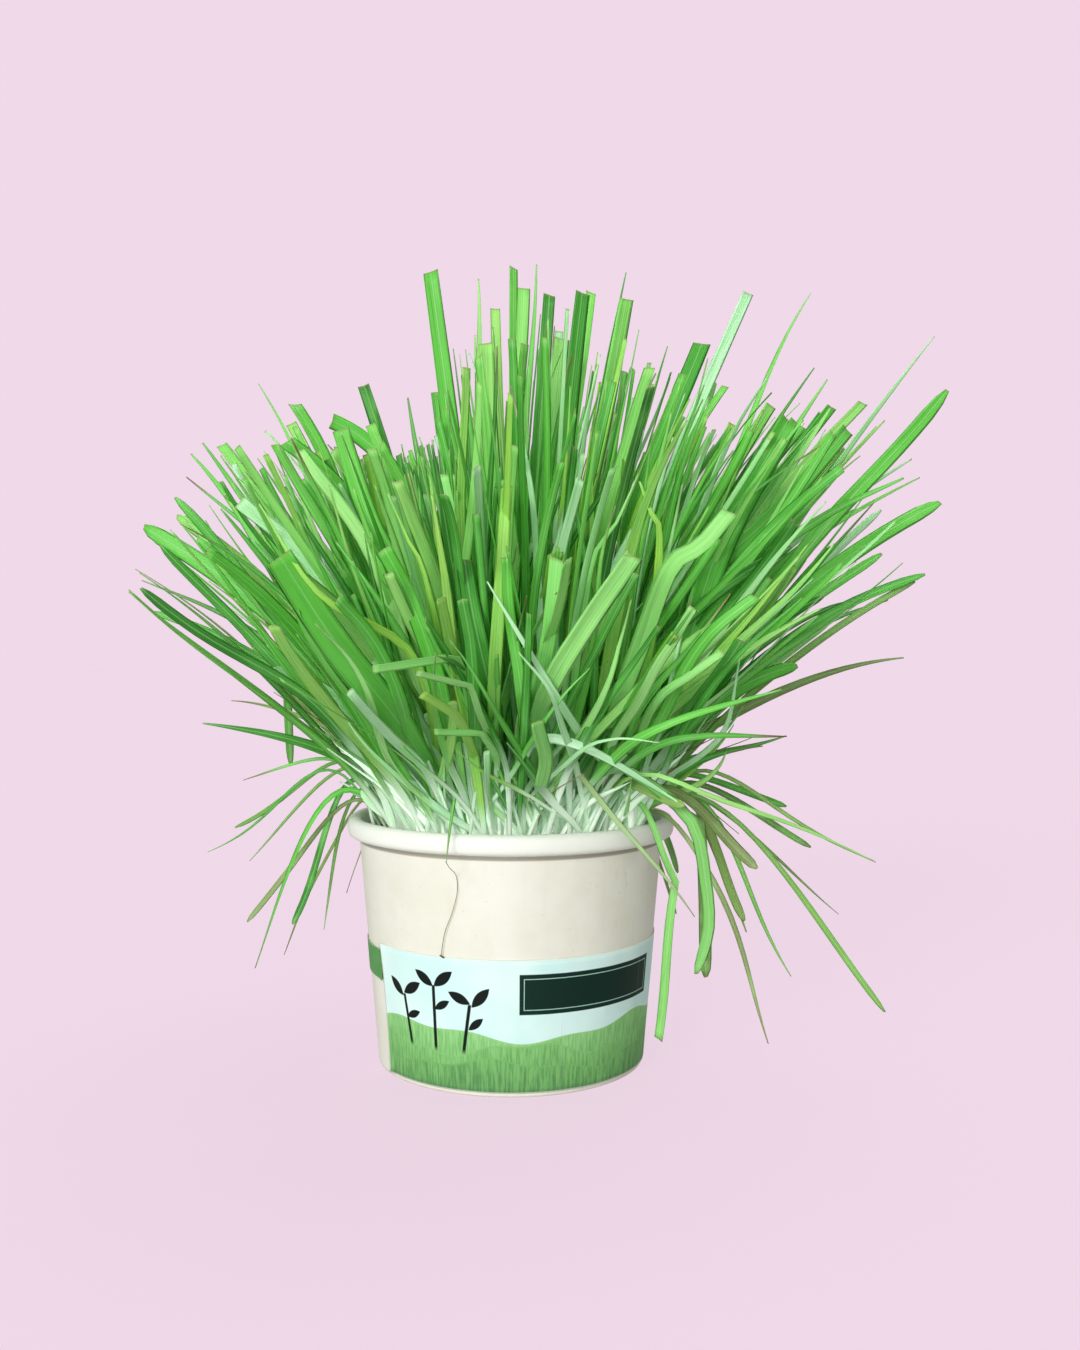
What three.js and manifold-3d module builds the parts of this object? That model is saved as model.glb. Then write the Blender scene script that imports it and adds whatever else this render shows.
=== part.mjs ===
// Wheatgrass growing in a round paper tub. Millimetres, +Z up.
// The origin is on the tub's axis, at the height of the surface that the tub stands on.
import * as THREE from "three";
import { mergeVertices } from "three/addons/utils/BufferGeometryUtils.js";
import Module from "manifold-3d";

const wasm = await Module();
wasm.setup();

// Tub: a wide paper food tub with a rolled rim and a bottom disc set in above its foot
const tubHeight = 72.9;
const footRadius = 39.6;
const rimRadius = 49;
const rimHeight = 5.8;
const wallRadiusUnderRim = 45.5;
const wallThickness = 0.9;
const discHeight = 6;
const discThickness = 0.8;
const discSkirtBottom = 0.9;
const roundSides = 48;

// Papers glued round the wall
const labelBottom = 1.2;
const labelTop = 38.5;
const labelStart = -148;
const labelEnd = 40;
const stripBottom = 27.6;
const stripTop = 36.7;
const paperThickness = 0.4;

// Soil and the mat of roots and seeds standing in it
const soilHeight = 66.2;
const soilRoughness = 0.9;
const matRadius = 39.6;
const matTop = 65.4;
const matDepth = 13;
const coreRadius = 11.7;
const gap = 0.3;

// Edges shorter than this are closed up where solids are joined
const weldLength = 0.01;

// Grass
const rootDepth = 4.4;
const coneSlope = 0.2126;
const bladeKeel = 1.25;
const coreBlades = 24;
const rootDraw = 0.22;
const bunchBlades = 33;
const leastSpread = 12;
const goldenShare = 0.618034;
const rightGrowth = 0.06;
const sideReach = 119;
const frontReach = 103;
const bunchSpan = 45;
const rootRings = [16.5, 21, 25.5, 30, 34.5];
const ringSum = rootRings.reduce((sum, radius) => sum + radius, 0);

const degree = Math.PI / 180;
const wallSlope = (wallRadiusUnderRim - footRadius) / (tubHeight - rimHeight);

// Outer radius of the tub's wall at a height
function wallRadius(height) {
  return footRadius + wallSlope * height;
}

// Seeded draw between two limits
let drawState = 4403;
function draw(low, high) {
  drawState = (drawState * 16807) % 2147483647;
  return low + (high - low) * (drawState / 2147483647);
}

// A ring or disc turned about the tub's axis from a closed outline of [radius, height] points
function turned(outline) {
  const points = outline.map(([radius, height]) => new THREE.Vector2(radius, height));
  const geometry = new THREE.LatheGeometry(points, roundSides);
  geometry.rotateX(Math.PI / 2);
  return geometry;
}

// A closed mesh without seams, ready to be joined or cut
function solidFrom(geometry) {
  const bare = geometry.clone();
  bare.deleteAttribute("normal");
  bare.deleteAttribute("uv");
  const merged = mergeVertices(bare, 1e-5);
  const vertProperties = new Float32Array(merged.attributes.position.array);
  const triVerts = new Uint32Array(merged.index.array);
  return new wasm.Manifold(new wasm.Mesh({ numProp: 3, vertProperties, triVerts, tolerance: weldLength }));
}

function geometryFrom(solid) {
  const mesh = solid.getMesh();
  const geometry = new THREE.BufferGeometry();
  geometry.setAttribute("position", new THREE.BufferAttribute(new Float32Array(mesh.vertProperties), 3));
  geometry.setIndex(new THREE.BufferAttribute(new Uint32Array(mesh.triVerts), 1));
  geometry.computeVertexNormals();
  return geometry;
}

const object = new THREE.Group();

function addPart(name, geometry, color, roughness) {
  const material = new THREE.MeshStandardMaterial({ color, roughness, metalness: 0 });
  const mesh = new THREE.Mesh(geometry, material);
  mesh.name = name;
  object.add(mesh);
}

// Tub wall: foot, sloping wall and rolled rim in one piece of board
function tubWall() {
  const rimBottom = tubHeight - rimHeight;
  const rimWidth = rimRadius - wallRadiusUnderRim;
  const corner = rimWidth * 0.45;
  const inside = (height) => wallRadius(height) - wallThickness;
  return turned([
    [inside(0), 0],
    [footRadius, 0],
    [wallRadiusUnderRim, rimBottom + 0.25],
    [rimRadius - corner, rimBottom],
    [rimRadius - 0.3, rimBottom + corner * 0.6],
    [rimRadius, rimBottom + rimHeight * 0.5],
    [rimRadius - 0.3, tubHeight - corner],
    [rimRadius - corner, tubHeight - 0.3],
    [rimRadius - rimWidth * 0.75, tubHeight],
    [wallRadiusUnderRim - wallThickness * 0.3, tubHeight - 0.5],
    [wallRadiusUnderRim - wallThickness, tubHeight - corner],
    [inside(rimBottom), rimBottom],
    [inside(0), 0],
  ]);
}

// Bottom disc with its edge folded down against the foot
function tubBottom() {
  const top = discHeight + discThickness;
  const edge = (height) => wallRadius(height) - wallThickness - gap;
  return turned([
    [0, discHeight],
    [edge(discHeight) - discThickness, discHeight],
    [edge(discSkirtBottom) - discThickness, discSkirtBottom],
    [edge(discSkirtBottom), discSkirtBottom],
    [edge(top), top],
    [0, top],
  ]);
}

// Soil: fills the tub, with a low rough bank round a plain recess for the root mat
function soil() {
  const bottom = discHeight + discThickness + gap;
  const recess = matTop - matDepth - gap;
  const bankFoot = matRadius + gap;
  const edge = (height) => wallRadius(height) - wallThickness - gap;
  const geometry = turned([
    [0, bottom],
    [edge(bottom), bottom],
    [edge(soilHeight), soilHeight],
    [edge(soilHeight) - 2, soilHeight + 0.5],
    [bankFoot, soilHeight],
    [bankFoot, recess],
    [0, recess],
  ]);
  const place = geometry.attributes.position;
  for (let i = 0; i < place.count; i += 1) {
    const turn = Math.atan2(place.getY(i), place.getX(i));
    const bump = Math.sin(7 * turn + 1) * 0.5 + Math.sin(13 * turn + 2) * 0.3 + Math.sin(4 * turn) * 0.4;
    if (place.getZ(i) > soilHeight - 0.1) {
      place.setZ(i, place.getZ(i) + soilRoughness * bump);
    }
  }
  return geometry;
}

// A paper band round the wall, between two directions in degrees from +X
function paperBand(bottom, top, start, end) {
  const steps = Math.ceil((end - start) / 7.5);
  const section = [
    [wallRadius(bottom) + gap, bottom],
    [wallRadius(bottom) + gap + paperThickness, bottom],
    [wallRadius(top) + gap + paperThickness, top],
    [wallRadius(top) + gap, top],
  ];
  const points = [];
  const faces = [];
  for (let step = 0; step <= steps; step += 1) {
    const turn = (start + ((end - start) * step) / steps) * degree;
    for (const [radius, height] of section) {
      points.push(radius * Math.cos(turn), radius * Math.sin(turn), height);
    }
    for (let side = 0; side < 4 && step < steps; side += 1) {
      const here = step * 4 + side;
      const next = step * 4 + ((side + 1) % 4);
      faces.push(here, next, here + 4, next, next + 4, here + 4);
    }
  }
  const last = steps * 4;
  faces.push(0, 2, 1, 0, 3, 2, last, last + 1, last + 2, last, last + 2, last + 3);
  faces.reverse();
  const geometry = new THREE.BufferGeometry();
  geometry.setAttribute("position", new THREE.Float32BufferAttribute(points, 3));
  geometry.setIndex(faces);
  return geometry;
}

// Leaning and drooping blades that make the outline, picked by hand:
// [tip x, tip y, tip z, width, lean at the root, lean at the tip, cut square or pointed]
const CUT = true;
const POINTED = false;
const outlineBlades = [
  [-121, 34, 163, 5.7, 30, 52, CUT],
  [-104, 10, 164, 4.4, 28, 50, CUT],
  [-120, 28, 145, 2.6, 34, 62, POINTED],
  [-110, 5, 134, 3.1, 36, 66, CUT],
  [-108, 38, 180, 2.4, 32, 46, POINTED],
  [-102, 20, 185, 3.9, 28, 42, POINTED],
  [-90, -15, 183, 3.5, 26, 40, POINTED],
  [-98, 46, 192, 4.1, 28, 42, CUT],
  [-82, 28, 209, 2.2, 22, 32, POINTED],
  [-64, -23, 182, 4.9, 14, 48, CUT],
  [-68, 15, 200, 4.5, 20, 32, CUT],
  [-60, 40, 199, 5.7, 16, 56, CUT],
  [-51, 55, 214, 4.9, 18, 28, CUT],
  [-40, -23, 187, 3.5, 18, 22, CUT],
  [61, 19, 220, 5.8, 17, 24, CUT],
  [75, 15, 235, 3.8, 18, 26, CUT],
  [99, 34, 240, 2.7, 24, 34, POINTED],
  [90, -10, 206, 3, 26, 38, POINTED],
  [105, 36, 212, 3.4, 26, 40, POINTED],
  [72, -36, 190, 3.9, 22, 38, CUT],
  [90, 10, 193, 6.9, 24, 42, CUT],
  [92, -23, 192, 3.4, 26, 38, CUT],
  [120, 22, 196, 3.9, 30, 44, POINTED],
  [121, -24, 212, 2.4, 30, 38, POINTED],
  [122, -32, 195, 4.2, 32, 40, CUT],
  [121, -3, 180, 3.6, 33, 48, POINTED],
  [120, -14, 173, 2.6, 34, 52, POINTED],
  [121, -29, 164, 4.4, 34, 56, CUT],
  [118, -25, 144, 3.4, 36, 62, CUT],
  [119, 15, 138, 3.2, 36, 64, POINTED],
  [85, -42, 137, 3.6, 32, 58, CUT],
  [121, 5, 120, 3.4, 38, 76, POINTED],
  [88, 20, 95, 2.9, 36, 84, POINTED],
  [81, -28, 118, 4.5, 28, 66, CUT],
  [72, -24, 95, 2.3, 32, 82, POINTED],
  [87, 15, 73, 3.8, 22, 108, CUT],
  [89, -10, 64, 3.9, 24, 115, CUT],
  [104, -25, 62, 2.6, 30, 115, POINTED],
  [66, -47, 64, 4.1, 18, 128, CUT],
  [106, 25, 37, 2.3, 28, 128, POINTED],
  [72, 5, 39, 4, 12, 150, CUT],
  [82, -15, 27, 2.4, 18, 150, POINTED],
  [108, -20, 18, 3.2, 26, 142, CUT],
  [71, -37, 14, 2.5, 16, 160, POINTED],
  [-90, -15, 101, 3.8, 34, 86, POINTED],
  [-90, 24, 106, 2.2, 36, 84, POINTED],
  [-83, 8, 82, 2.2, 30, 105, POINTED],
  [-66, -36, 117, 3.4, 28, 76, CUT],
  [-92, 0, 61, 2.5, 26, 116, POINTED],
  [-89, 25, 65, 3.3, 26, 114, CUT],
  [-76, -20, 44, 2.9, 16, 140, CUT],
  [-68, 10, 37, 3.8, 12, 150, CUT],
  [-73, 24, 24, 2.2, 16, 156, POINTED],
  [-59, 16, 34, 2.5, 8, 172, POINTED],
  [-54, -88, 141, 7.6, 26, 62, CUT],
  [11, -78, 146, 4.2, 25, 48, CUT],
  [29, -82, 145, 4.3, 27, 52, CUT],
  [-6, -75, 139, 2.5, 22, 58, POINTED],
  [-2, -60, 166, 4.4, 20, 36, CUT],
  [-16, -100, 121, 3.1, 30, 84, CUT],
  [-17, -50, 66, 2, 6, 168, POINTED],
  [45, -58, 82, 4.2, 24, 100, CUT],
  [14, 104, 158, 5.2, 30, 52, CUT],
  [-30, 100, 172, 3.8, 28, 46, POINTED],
  [38, 98, 186, 4.6, 26, 42, CUT],
  [4, 92, 204, 4.2, 22, 34, CUT],
  [-62, 82, 168, 5.6, 28, 50, CUT],
  [70, 78, 176, 3.6, 28, 46, POINTED],
  [-22, 98, 112, 3.2, 34, 80, POINTED],
  [30, 92, 66, 3.4, 22, 118, CUT],
  [-44, 62, 42, 3, 14, 146, POINTED],
  [58, 60, 30, 3.6, 12, 152, CUT],
];

// Upright blades in the middle, picked by hand: [tip x, tip y, tip z, width, cut square or pointed]
const topBlades = [
  [-32, 10, 201, 3.8, POINTED],
  [-24, -5, 236, 4.8, CUT],
  [-10, 10, 238, 3.5, POINTED],
  [-5, 30, 234, 4, CUT],
  [-7, -20, 211, 4.9, CUT],
  [1, 15, 243, 3.2, CUT],
  [4, -12, 229, 3.9, CUT],
  [8, 5, 241, 3.1, POINTED],
  [11, -27, 223, 3.6, CUT],
  [16, 12, 220, 5.4, CUT],
  [22, 0, 231, 4.9, CUT],
  [26, 25, 238, 3.9, CUT],
  [36, 10, 240, 2.8, POINTED],
  [34, -15, 225, 5, CUT],
];

// Folded blades that hang from a sharp kink: [kink x, y, z, tip x, y, z, width, lean at the kink]
const foldedBlades = [
  [55, -20, 73, 56, -21, 28, 4.4, 112],
  [46, -41, 60, 40, -43, 17, 3.2, 140],
  [-72, 24, 127, -71, 25, 85, 3.3, 84],
  [34, 62, 96, 36, 66, 52, 4, 100],
];

function radiusOf(point) {
  return Math.hypot(point.x, point.y);
}

// Radius of the upright middle's cone at a height
function coneRadius(height) {
  return coreRadius + coneSlope * (height - matTop);
}

// Share of the full width along a blade: a narrow pale sheath, the broad leaf, then the tip
function widthShare(along, cut) {
  const sheath = 0.42 + 0.58 * Math.min(1, along / 0.32);
  if (cut) {
    return sheath * (1 - 0.15 * Math.max(0, (along - 0.7) / 0.3));
  }
  return sheath * (1 - 0.86 * Math.max(0, (along - 0.55) / 0.45) ** 1.4);
}

// Half of a blade's width and the room that its keel takes
function halfWidth(blade, along) {
  return (blade.width * widthShare(along, blade.cut)) / 2 + 0.6;
}

// Centre line: a curve that leaves the root and reaches the tip at the stated leans,
// then a straight hanging end on a folded blade
function bladePoint(blade, along) {
  const { root, tip, kink } = blade;
  const end = kink ?? tip;
  if (kink && along > blade.kinkAt) {
    return kink.clone().lerp(tip, (along - blade.kinkAt) / (1 - blade.kinkAt));
  }
  const t = kink ? along / blade.kinkAt : along;
  const heading = Math.atan2(end.y - root.y, end.x - root.x);
  const handle = (lean, length) =>
    new THREE.Vector3(
      Math.sin(lean * degree) * Math.cos(heading) * length,
      Math.sin(lean * degree) * Math.sin(heading) * length,
      Math.cos(lean * degree) * length,
    );
  const first = root.clone().add(handle(blade.startLean, blade.lift));
  const second = end.clone().sub(handle(blade.endLean, blade.hang));
  const s = 1 - t;
  return new THREE.Vector3()
    .addScaledVector(root, s * s * s)
    .addScaledVector(first, 3 * s * s * t)
    .addScaledVector(second, 3 * s * t * t)
    .addScaledVector(end, t * t * t);
}

// Solid blade: a keeled three-sided section carried along its centre line
function bladeSolid(blade) {
  const stops = blade.stops;
  const centres = stops.map((along) => bladePoint(blade, along));
  const heading = Math.atan2(blade.tip.y - blade.root.y, blade.tip.x - blade.root.x);
  const across = new THREE.Vector3(-Math.sin(heading), Math.cos(heading), 0);
  const points = [];
  const faces = [];
  centres.forEach((centre, i) => {
    const before = centres[Math.max(0, i - 1)];
    const after = centres[Math.min(centres.length - 1, i + 1)];
    const along = after.clone().sub(before).normalize();
    const level = across.clone().addScaledVector(along, -across.dot(along)).normalize();
    const turn = (blade.turn + blade.twist * stops[i]) * degree;
    const side = level.clone().applyAxisAngle(along, turn);
    const below = new THREE.Vector3().crossVectors(along, side);
    const half = (blade.width * widthShare(stops[i], blade.cut)) / 2;
    const keel = bladeKeel * (1 - 0.3 * stops[i]);
    points.push(...centre.clone().addScaledVector(side, half));
    points.push(...centre.clone().addScaledVector(side, -half));
    points.push(...centre.clone().addScaledVector(below, keel));
    if (i < centres.length - 1) {
      for (let edge = 0; edge < 3; edge += 1) {
        const a = i * 3 + edge;
        const b = i * 3 + ((edge + 1) % 3);
        faces.push(a, a + 3, b, b, a + 3, b + 3);
      }
    }
  });
  const last = (centres.length - 1) * 3;
  faces.push(0, 1, 2, last, last + 2, last + 1);
  const vertProperties = new Float32Array(points);
  const triVerts = new Uint32Array(faces);
  return new wasm.Manifold(new wasm.Mesh({ numProp: 3, vertProperties, triVerts, tolerance: weldLength }));
}

const shortStops = [0, 0.3, 0.68, 1];
const longStops = [0, 0.2, 0.45, 0.72, 1];
const droopStops = [0, 0.16, 0.3, 0.44, 0.6, 0.8, 1];
const foldStops = [0, 0.2, 0.42, 0.6, 0.66, 1];

// A blade with its handles, section turn and ring places filled in
function makeBlade(root, tip, width, startLean, endLean, cut) {
  const chord = root.distanceTo(tip);
  const droops = endLean > 95;
  const blade = { root, tip, width, startLean, endLean, cut };
  blade.lift = droops ? 38 : chord * 0.36;
  blade.hang = droops ? 12 + chord * 0.42 : chord * 0.36;
  blade.turn = draw(-30, 30);
  blade.twist = draw(-45, 45);
  blade.stops = droops ? droopStops : Math.abs(endLean - startLean) > 16 ? longStops : shortStops;
  return blade;
}

// True where a blade stays out of the tub, out of the middle cone and inside its own bunch
function isClear(blade) {
  for (let step = 1; step <= 24; step += 1) {
    const along = step / 24;
    const point = bladePoint(blade, along);
    const radius = radiusOf(point);
    const half = halfWidth(blade, along);
    const overRim = radius > 42.5 - half && radius < rimRadius + half + 0.6;
    if (overRim && point.z < tubHeight + half + 0.4) {
      return false;
    }
    if (point.z > matTop && radius - half < coneRadius(point.z) + 0.5) {
      return false;
    }
  }
  return true;
}

// Straightens a blade's foot until it clears the rim, then moves its root
function settle(blade) {
  for (let round = 0; round < 14 && !isClear(blade); round += 1) {
    if (blade.endLean > 95) {
      blade.lift += 2;
      blade.startLean += (24 - blade.startLean) * 0.3;
    } else {
      blade.startLean = Math.max(15, blade.startLean - 3);
      blade.endLean = Math.max(blade.startLean, blade.endLean - 2);
    }
    if (round > 5) {
      const share = radiusOf(blade.root) > 24 ? 0.96 : 1.04;
      blade.root.x *= share;
      blade.root.y *= share;
    }
  }
  return blade;
}

// Point at a direction and radius, kept a blade's half width inside the planes between bunches
function inBunch(centre, offset, radius, height, half) {
  const room = bunchSpan / 2 - Math.asin((half + gap) / radius) / degree;
  const turn = (centre + Math.max(-room, Math.min(room, offset))) * degree;
  return new THREE.Vector3(Math.cos(turn) * radius, Math.sin(turn) * radius, height);
}

function fraction(value) {
  return value - Math.floor(value);
}

// Nearest bunch to a point, as the direction of its middle
function bunchOf(x, y) {
  const turn = Math.atan2(y, x) / degree;
  return (Math.round(turn / bunchSpan) * bunchSpan + 360) % 360;
}

function offsetIn(centre, x, y) {
  const turn = Math.atan2(y, x) / degree - centre;
  return ((turn + 540 + 360) % 360) - 180;
}

// Rule-made blades of one bunch as outline rows: outer ones lean further,
// and every ninth droops, except over the front of the tub
function spreadTips(centre, count) {
  const rows = [];
  const overFront = centre > 180;
  for (let i = 0; i < count; i += 1) {
    const share = (i + draw(0, 1)) / count;
    const droops = i % 9 === 8 && !overFront;
    const lean = droops ? draw(86, 130) : 16 + share * 40 + draw(-4, 4);
    const growth = 1.01 + rightGrowth * Math.cos(centre * degree);
    const length = droops ? draw(50, 66) : (draw(132, 170) - share * 42) * growth;
    const turn = (centre + (fraction(i * goldenShare) * 2 - 1) * 20.5) * degree;
    const limit = 1 / Math.hypot(Math.cos(turn) / sideReach, Math.sin(turn) / frontReach);
    const radius = Math.min(limit, (droops ? 36 : 16 + share * 18) + Math.sin(lean * degree) * length);
    const height = Math.max(22, matTop + Math.cos(lean * degree) * length);
    const startLean = droops ? draw(14, 24) : Math.max(14, lean * 0.74);
    const endLean = droops ? Math.min(170, lean + draw(20, 40)) : lean * draw(1, 1.5);
    const cut = draw(0, 1) < 0.5;
    const x = Math.cos(turn) * radius;
    const y = Math.sin(turn) * radius;
    rows.push([x, y, height, draw(3, 5.2), startLean, endLean, cut]);
  }
  return rows;
}

// Lean of the straight line from the mat's edge to a tip, used to order blades from upright to level
function leanOf([x, y, z]) {
  return Math.atan2(Math.hypot(x, y) - 20, z - matTop);
}

// Blades of one bunch: roots stand in rows across the mat, upright blades in the inner rows
function bunchedBlades(centre) {
  const picked = outlineBlades.filter(([x, y]) => bunchOf(x, y) === centre);
  const wanted = [...picked, ...spreadTips(centre, Math.max(leastSpread, bunchBlades - picked.length))];
  wanted.sort((a, b) => leanOf(a) - leanOf(b));
  const blades = [];
  let placed = 0;
  let ring = 0;
  while (placed < wanted.length) {
    const radius = rootRings[Math.min(ring, rootRings.length - 1)];
    const left = wanted.length - placed;
    const isLast = ring >= rootRings.length - 1;
    const seats = isLast ? left : Math.min(left, Math.round((wanted.length * radius) / ringSum));
    const group = wanted.slice(placed, placed + seats);
    group.sort((a, b) => offsetIn(centre, a[0], a[1]) - offsetIn(centre, b[0], b[1]));
    group.forEach(([x, y, z, width, startLean, endLean, cut], seat) => {
      const half = width / 2 + 0.6;
      const spot = ((seat + 0.5) / seats) * 2 - 1;
      const rootRadius = radius + (seat % 2 ? 0.9 : -0.9) + draw(-0.4, 0.4);
      const root = inBunch(centre, (spot * bunchSpan) / 2, rootRadius, matTop - rootDepth, half * 0.6);
      const tip = inBunch(centre, offsetIn(centre, x, y), Math.hypot(x, y), z, half);
      blades.push(settle(makeBlade(root, tip, width, startLean, endLean, cut)));
    });
    placed += seats;
    ring += 1;
  }
  return blades;
}

// Blades of one bunch that hang from a sharp kink
function kinkedBlades(centre) {
  const here = foldedBlades.filter((row) => bunchOf(row[3], row[4]) === centre);
  return here.map(([kinkX, kinkY, kinkZ, tipX, tipY, tipZ, width, kinkLean]) => {
    const half = width / 2 + 0.6;
    const kinkOffset = offsetIn(centre, kinkX, kinkY);
    const root = inBunch(centre, kinkOffset, 37, matTop - rootDepth, half);
    const kink = inBunch(centre, kinkOffset, Math.hypot(kinkX, kinkY), kinkZ, half);
    const tip = inBunch(centre, offsetIn(centre, tipX, tipY), Math.hypot(tipX, tipY), tipZ, half);
    const blade = makeBlade(root, tip, width, 10, kinkLean, CUT);
    blade.kink = kink;
    blade.kinkAt = 0.6;
    blade.lift = 20;
    blade.hang = 18;
    blade.turn = 0;
    blade.twist = 0;
    blade.stops = foldStops;
    return settle(blade);
  });
}

// Upright blades of the middle: tips spread on a spiral, roots under them nearer the axis
function middleBlades() {
  const rows = [...topBlades];
  for (let i = 0; i < coreBlades; i += 1) {
    const turn = i * 137.5 * degree;
    const height = draw(172, 226);
    const reach = (coneRadius(height) - 5) * Math.sqrt((i + 0.5) / coreBlades);
    rows.push([Math.cos(turn) * reach, Math.sin(turn) * reach, height, draw(2.8, 4.8), draw(0, 1) < 0.5]);
  }
  return rows.map(([x, y, z, width, cut]) => {
    const root = new THREE.Vector3(x * rootDraw, y * rootDraw, matTop - rootDepth);
    const lean = Math.atan2(Math.hypot(x, y) * (1 - rootDraw), z - matTop) / degree;
    const blade = makeBlade(root, new THREE.Vector3(x, y, z), width, lean * 0.8, lean * 1.2, cut);
    return keepInCone(blade);
  });
}

// Draws a blade towards the axis until it lies inside the middle cone
function keepInCone(blade) {
  const leavesCone = () =>
    [0, 1, 2, 3, 4, 5, 6, 7, 8, 9, 10, 11, 12].some((step) => {
      const along = step / 12;
      const point = bladePoint(blade, along);
      return radiusOf(point) + halfWidth(blade, along) > coneRadius(Math.max(matTop, point.z)) - 0.4;
    });
  for (let round = 0; round < 20 && leavesCone(); round += 1) {
    blade.root.x *= 0.93;
    blade.root.y *= 0.93;
    blade.tip.x *= 0.98;
    blade.tip.y *= 0.98;
  }
  return blade;
}

// Share of the root mat that carries one bunch: a sector of a ring
function matSector(centre) {
  const inner = coreRadius + gap + 0.2;
  const shape = new THREE.Shape();
  const limit = (radius) => (bunchSpan / 2) * degree - Math.asin(gap / 2 / radius);
  shape.absarc(0, 0, matRadius, -limit(matRadius), limit(matRadius), false);
  shape.absarc(0, 0, inner, limit(inner), -limit(inner), true);
  const geometry = new THREE.ExtrudeGeometry(shape, { depth: matDepth, bevelEnabled: false, curveSegments: 6 });
  geometry.rotateZ(centre * degree);
  geometry.translate(0, 0, matTop - matDepth);
  return solidFrom(geometry);
}

// Middle of the root mat
function matCore() {
  const geometry = new THREE.CylinderGeometry(coreRadius, coreRadius, matDepth, 24);
  geometry.rotateX(Math.PI / 2);
  geometry.translate(0, 0, matTop - matDepth / 2);
  return solidFrom(geometry);
}

function bunch(mat, blades) {
  return geometryFrom(wasm.Manifold.union([mat, ...blades.map(bladeSolid)]));
}

addPart("tub_wall", tubWall(), 0xeadcc4, 0.7);
addPart("tub_bottom", tubBottom(), 0xe2d2b6, 0.75);
addPart("soil", soil(), 0x2e2118, 0.95);
addPart("label", paperBand(labelBottom, labelTop, labelStart, labelEnd), 0xd9efe6, 0.45);
addPart("green_strip", paperBand(stripBottom, stripTop, labelEnd + 1, labelStart + 359), 0x3f9a3a, 0.45);
addPart("grass_middle", bunch(matCore(), middleBlades()), 0x4f9a3c, 0.5);
for (let centre = 0; centre < 360; centre += bunchSpan) {
  const blades = [...bunchedBlades(centre), ...kinkedBlades(centre)];
  addPart(`grass_bunch_${centre}`, bunch(matSector(centre), blades), 0x5aa843, 0.5);
}

export default object;
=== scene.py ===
import math
from functools import reduce
from types import SimpleNamespace

import bpy
import numpy as np
from mathutils import Matrix, Vector, noise


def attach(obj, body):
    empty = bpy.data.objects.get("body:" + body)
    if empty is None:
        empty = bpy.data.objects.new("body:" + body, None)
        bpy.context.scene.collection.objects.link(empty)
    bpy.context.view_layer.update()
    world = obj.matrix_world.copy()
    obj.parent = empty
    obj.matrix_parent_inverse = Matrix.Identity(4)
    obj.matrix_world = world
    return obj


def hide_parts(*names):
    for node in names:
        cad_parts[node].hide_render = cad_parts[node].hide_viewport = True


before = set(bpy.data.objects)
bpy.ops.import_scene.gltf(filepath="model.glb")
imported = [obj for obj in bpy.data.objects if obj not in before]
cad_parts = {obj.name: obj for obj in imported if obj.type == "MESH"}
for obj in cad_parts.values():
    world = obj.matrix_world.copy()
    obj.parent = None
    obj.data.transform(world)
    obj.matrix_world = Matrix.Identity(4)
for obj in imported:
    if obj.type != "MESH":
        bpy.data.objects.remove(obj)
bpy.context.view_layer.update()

# Everything below is worked out in millimetres and scaled once, as each mesh is made
MM = 0.001

# Tub
TUB_HEIGHT = 72.9
FOOT_RADIUS = 39.6
RIM_RADIUS = 49
RIM_HEIGHT = 5.8
WALL_RADIUS_UNDER_RIM = 45.5
WALL_THICKNESS = 0.9
DISC_HEIGHT = 6
DISC_THICKNESS = 0.8

# Papers glued round the wall, in degrees from +X
LABEL_BOTTOM, LABEL_TOP = 1.2, 38.5
LABEL_START, LABEL_END = -148, 40
STRIP_BOTTOM, STRIP_TOP = 27.6, 36.7

# Soil and root mat
SOIL_HEIGHT = 66.2
MAT_TOP = 65.4
ROOT_DEPTH = 4.4
GAP = 0.3
# The fine blades leave the mat bare to the left of this, as the photograph shows
MAT_LEFT = -31
OUTER_ROOTS = 37

# The upright middle of the grass stands in a cone, which widens by this slope from the mat up
CORE_BLADES = 24
CORE_RADIUS = 11.7
CONE_SLOPE = 0.2126
# Share of a tip's distance from the axis at which its root stands
ROOT_DRAW = 0.22

# Bunches round the middle: degrees that each takes, its blades, and the rows that its roots stand in
BUNCH_SPAN = 45
BUNCH_BLADES = 33
LEAST_SPREAD = 12
ROOT_RINGS = [16.5, 21, 25.5, 30, 34.5]
RING_SUM = sum(ROOT_RINGS)
GOLDEN_SHARE = 0.618034
RIGHT_GROWTH = 0.06
# Furthest that rule-made tips reach from the axis, to the sides and to the front
SIDE_REACH = 119
FRONT_REACH = 103

# Blades end in a square cut or in a point, and droop if they lean further than this at the tip
CUT, POINTED = True, False
DROOP_LEAN = 95
# Share of its length over which a blade widens from its sheath, and the room that its keel takes
NECK = 0.32
KEEL_ROOM = 0.6
# Clear radius inside the rim, and the height from which a blade may cross over it
INSIDE_RIM = 42.5
OVER_RIM = 84

# Finer blades that are added round those of the solids: long and short ones in each bunch
LOOSE_BLADES, SHORT_BLADES = 60, 26
# Bunches whose added blades stay nearer to the axis, because the mat is bare there
LEFT_BUNCHES = (180, 225)
# Blades towards the eye, and tries for a hair on the blades of each bunch
PALE_STEMS, FRONT_BLADES = 150, 290
HAIRS_TRIED = 170
# What lies on the soil or is caught among the blades
CRUMBS, HUSKS, ROOTS, WISPS = 520, 230, 150, 46

SEEDS = {"solid": 4403, "bunches": 90210, "front": 5150, "soil": 77, "threads": 313, "hairs": 2024}

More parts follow.
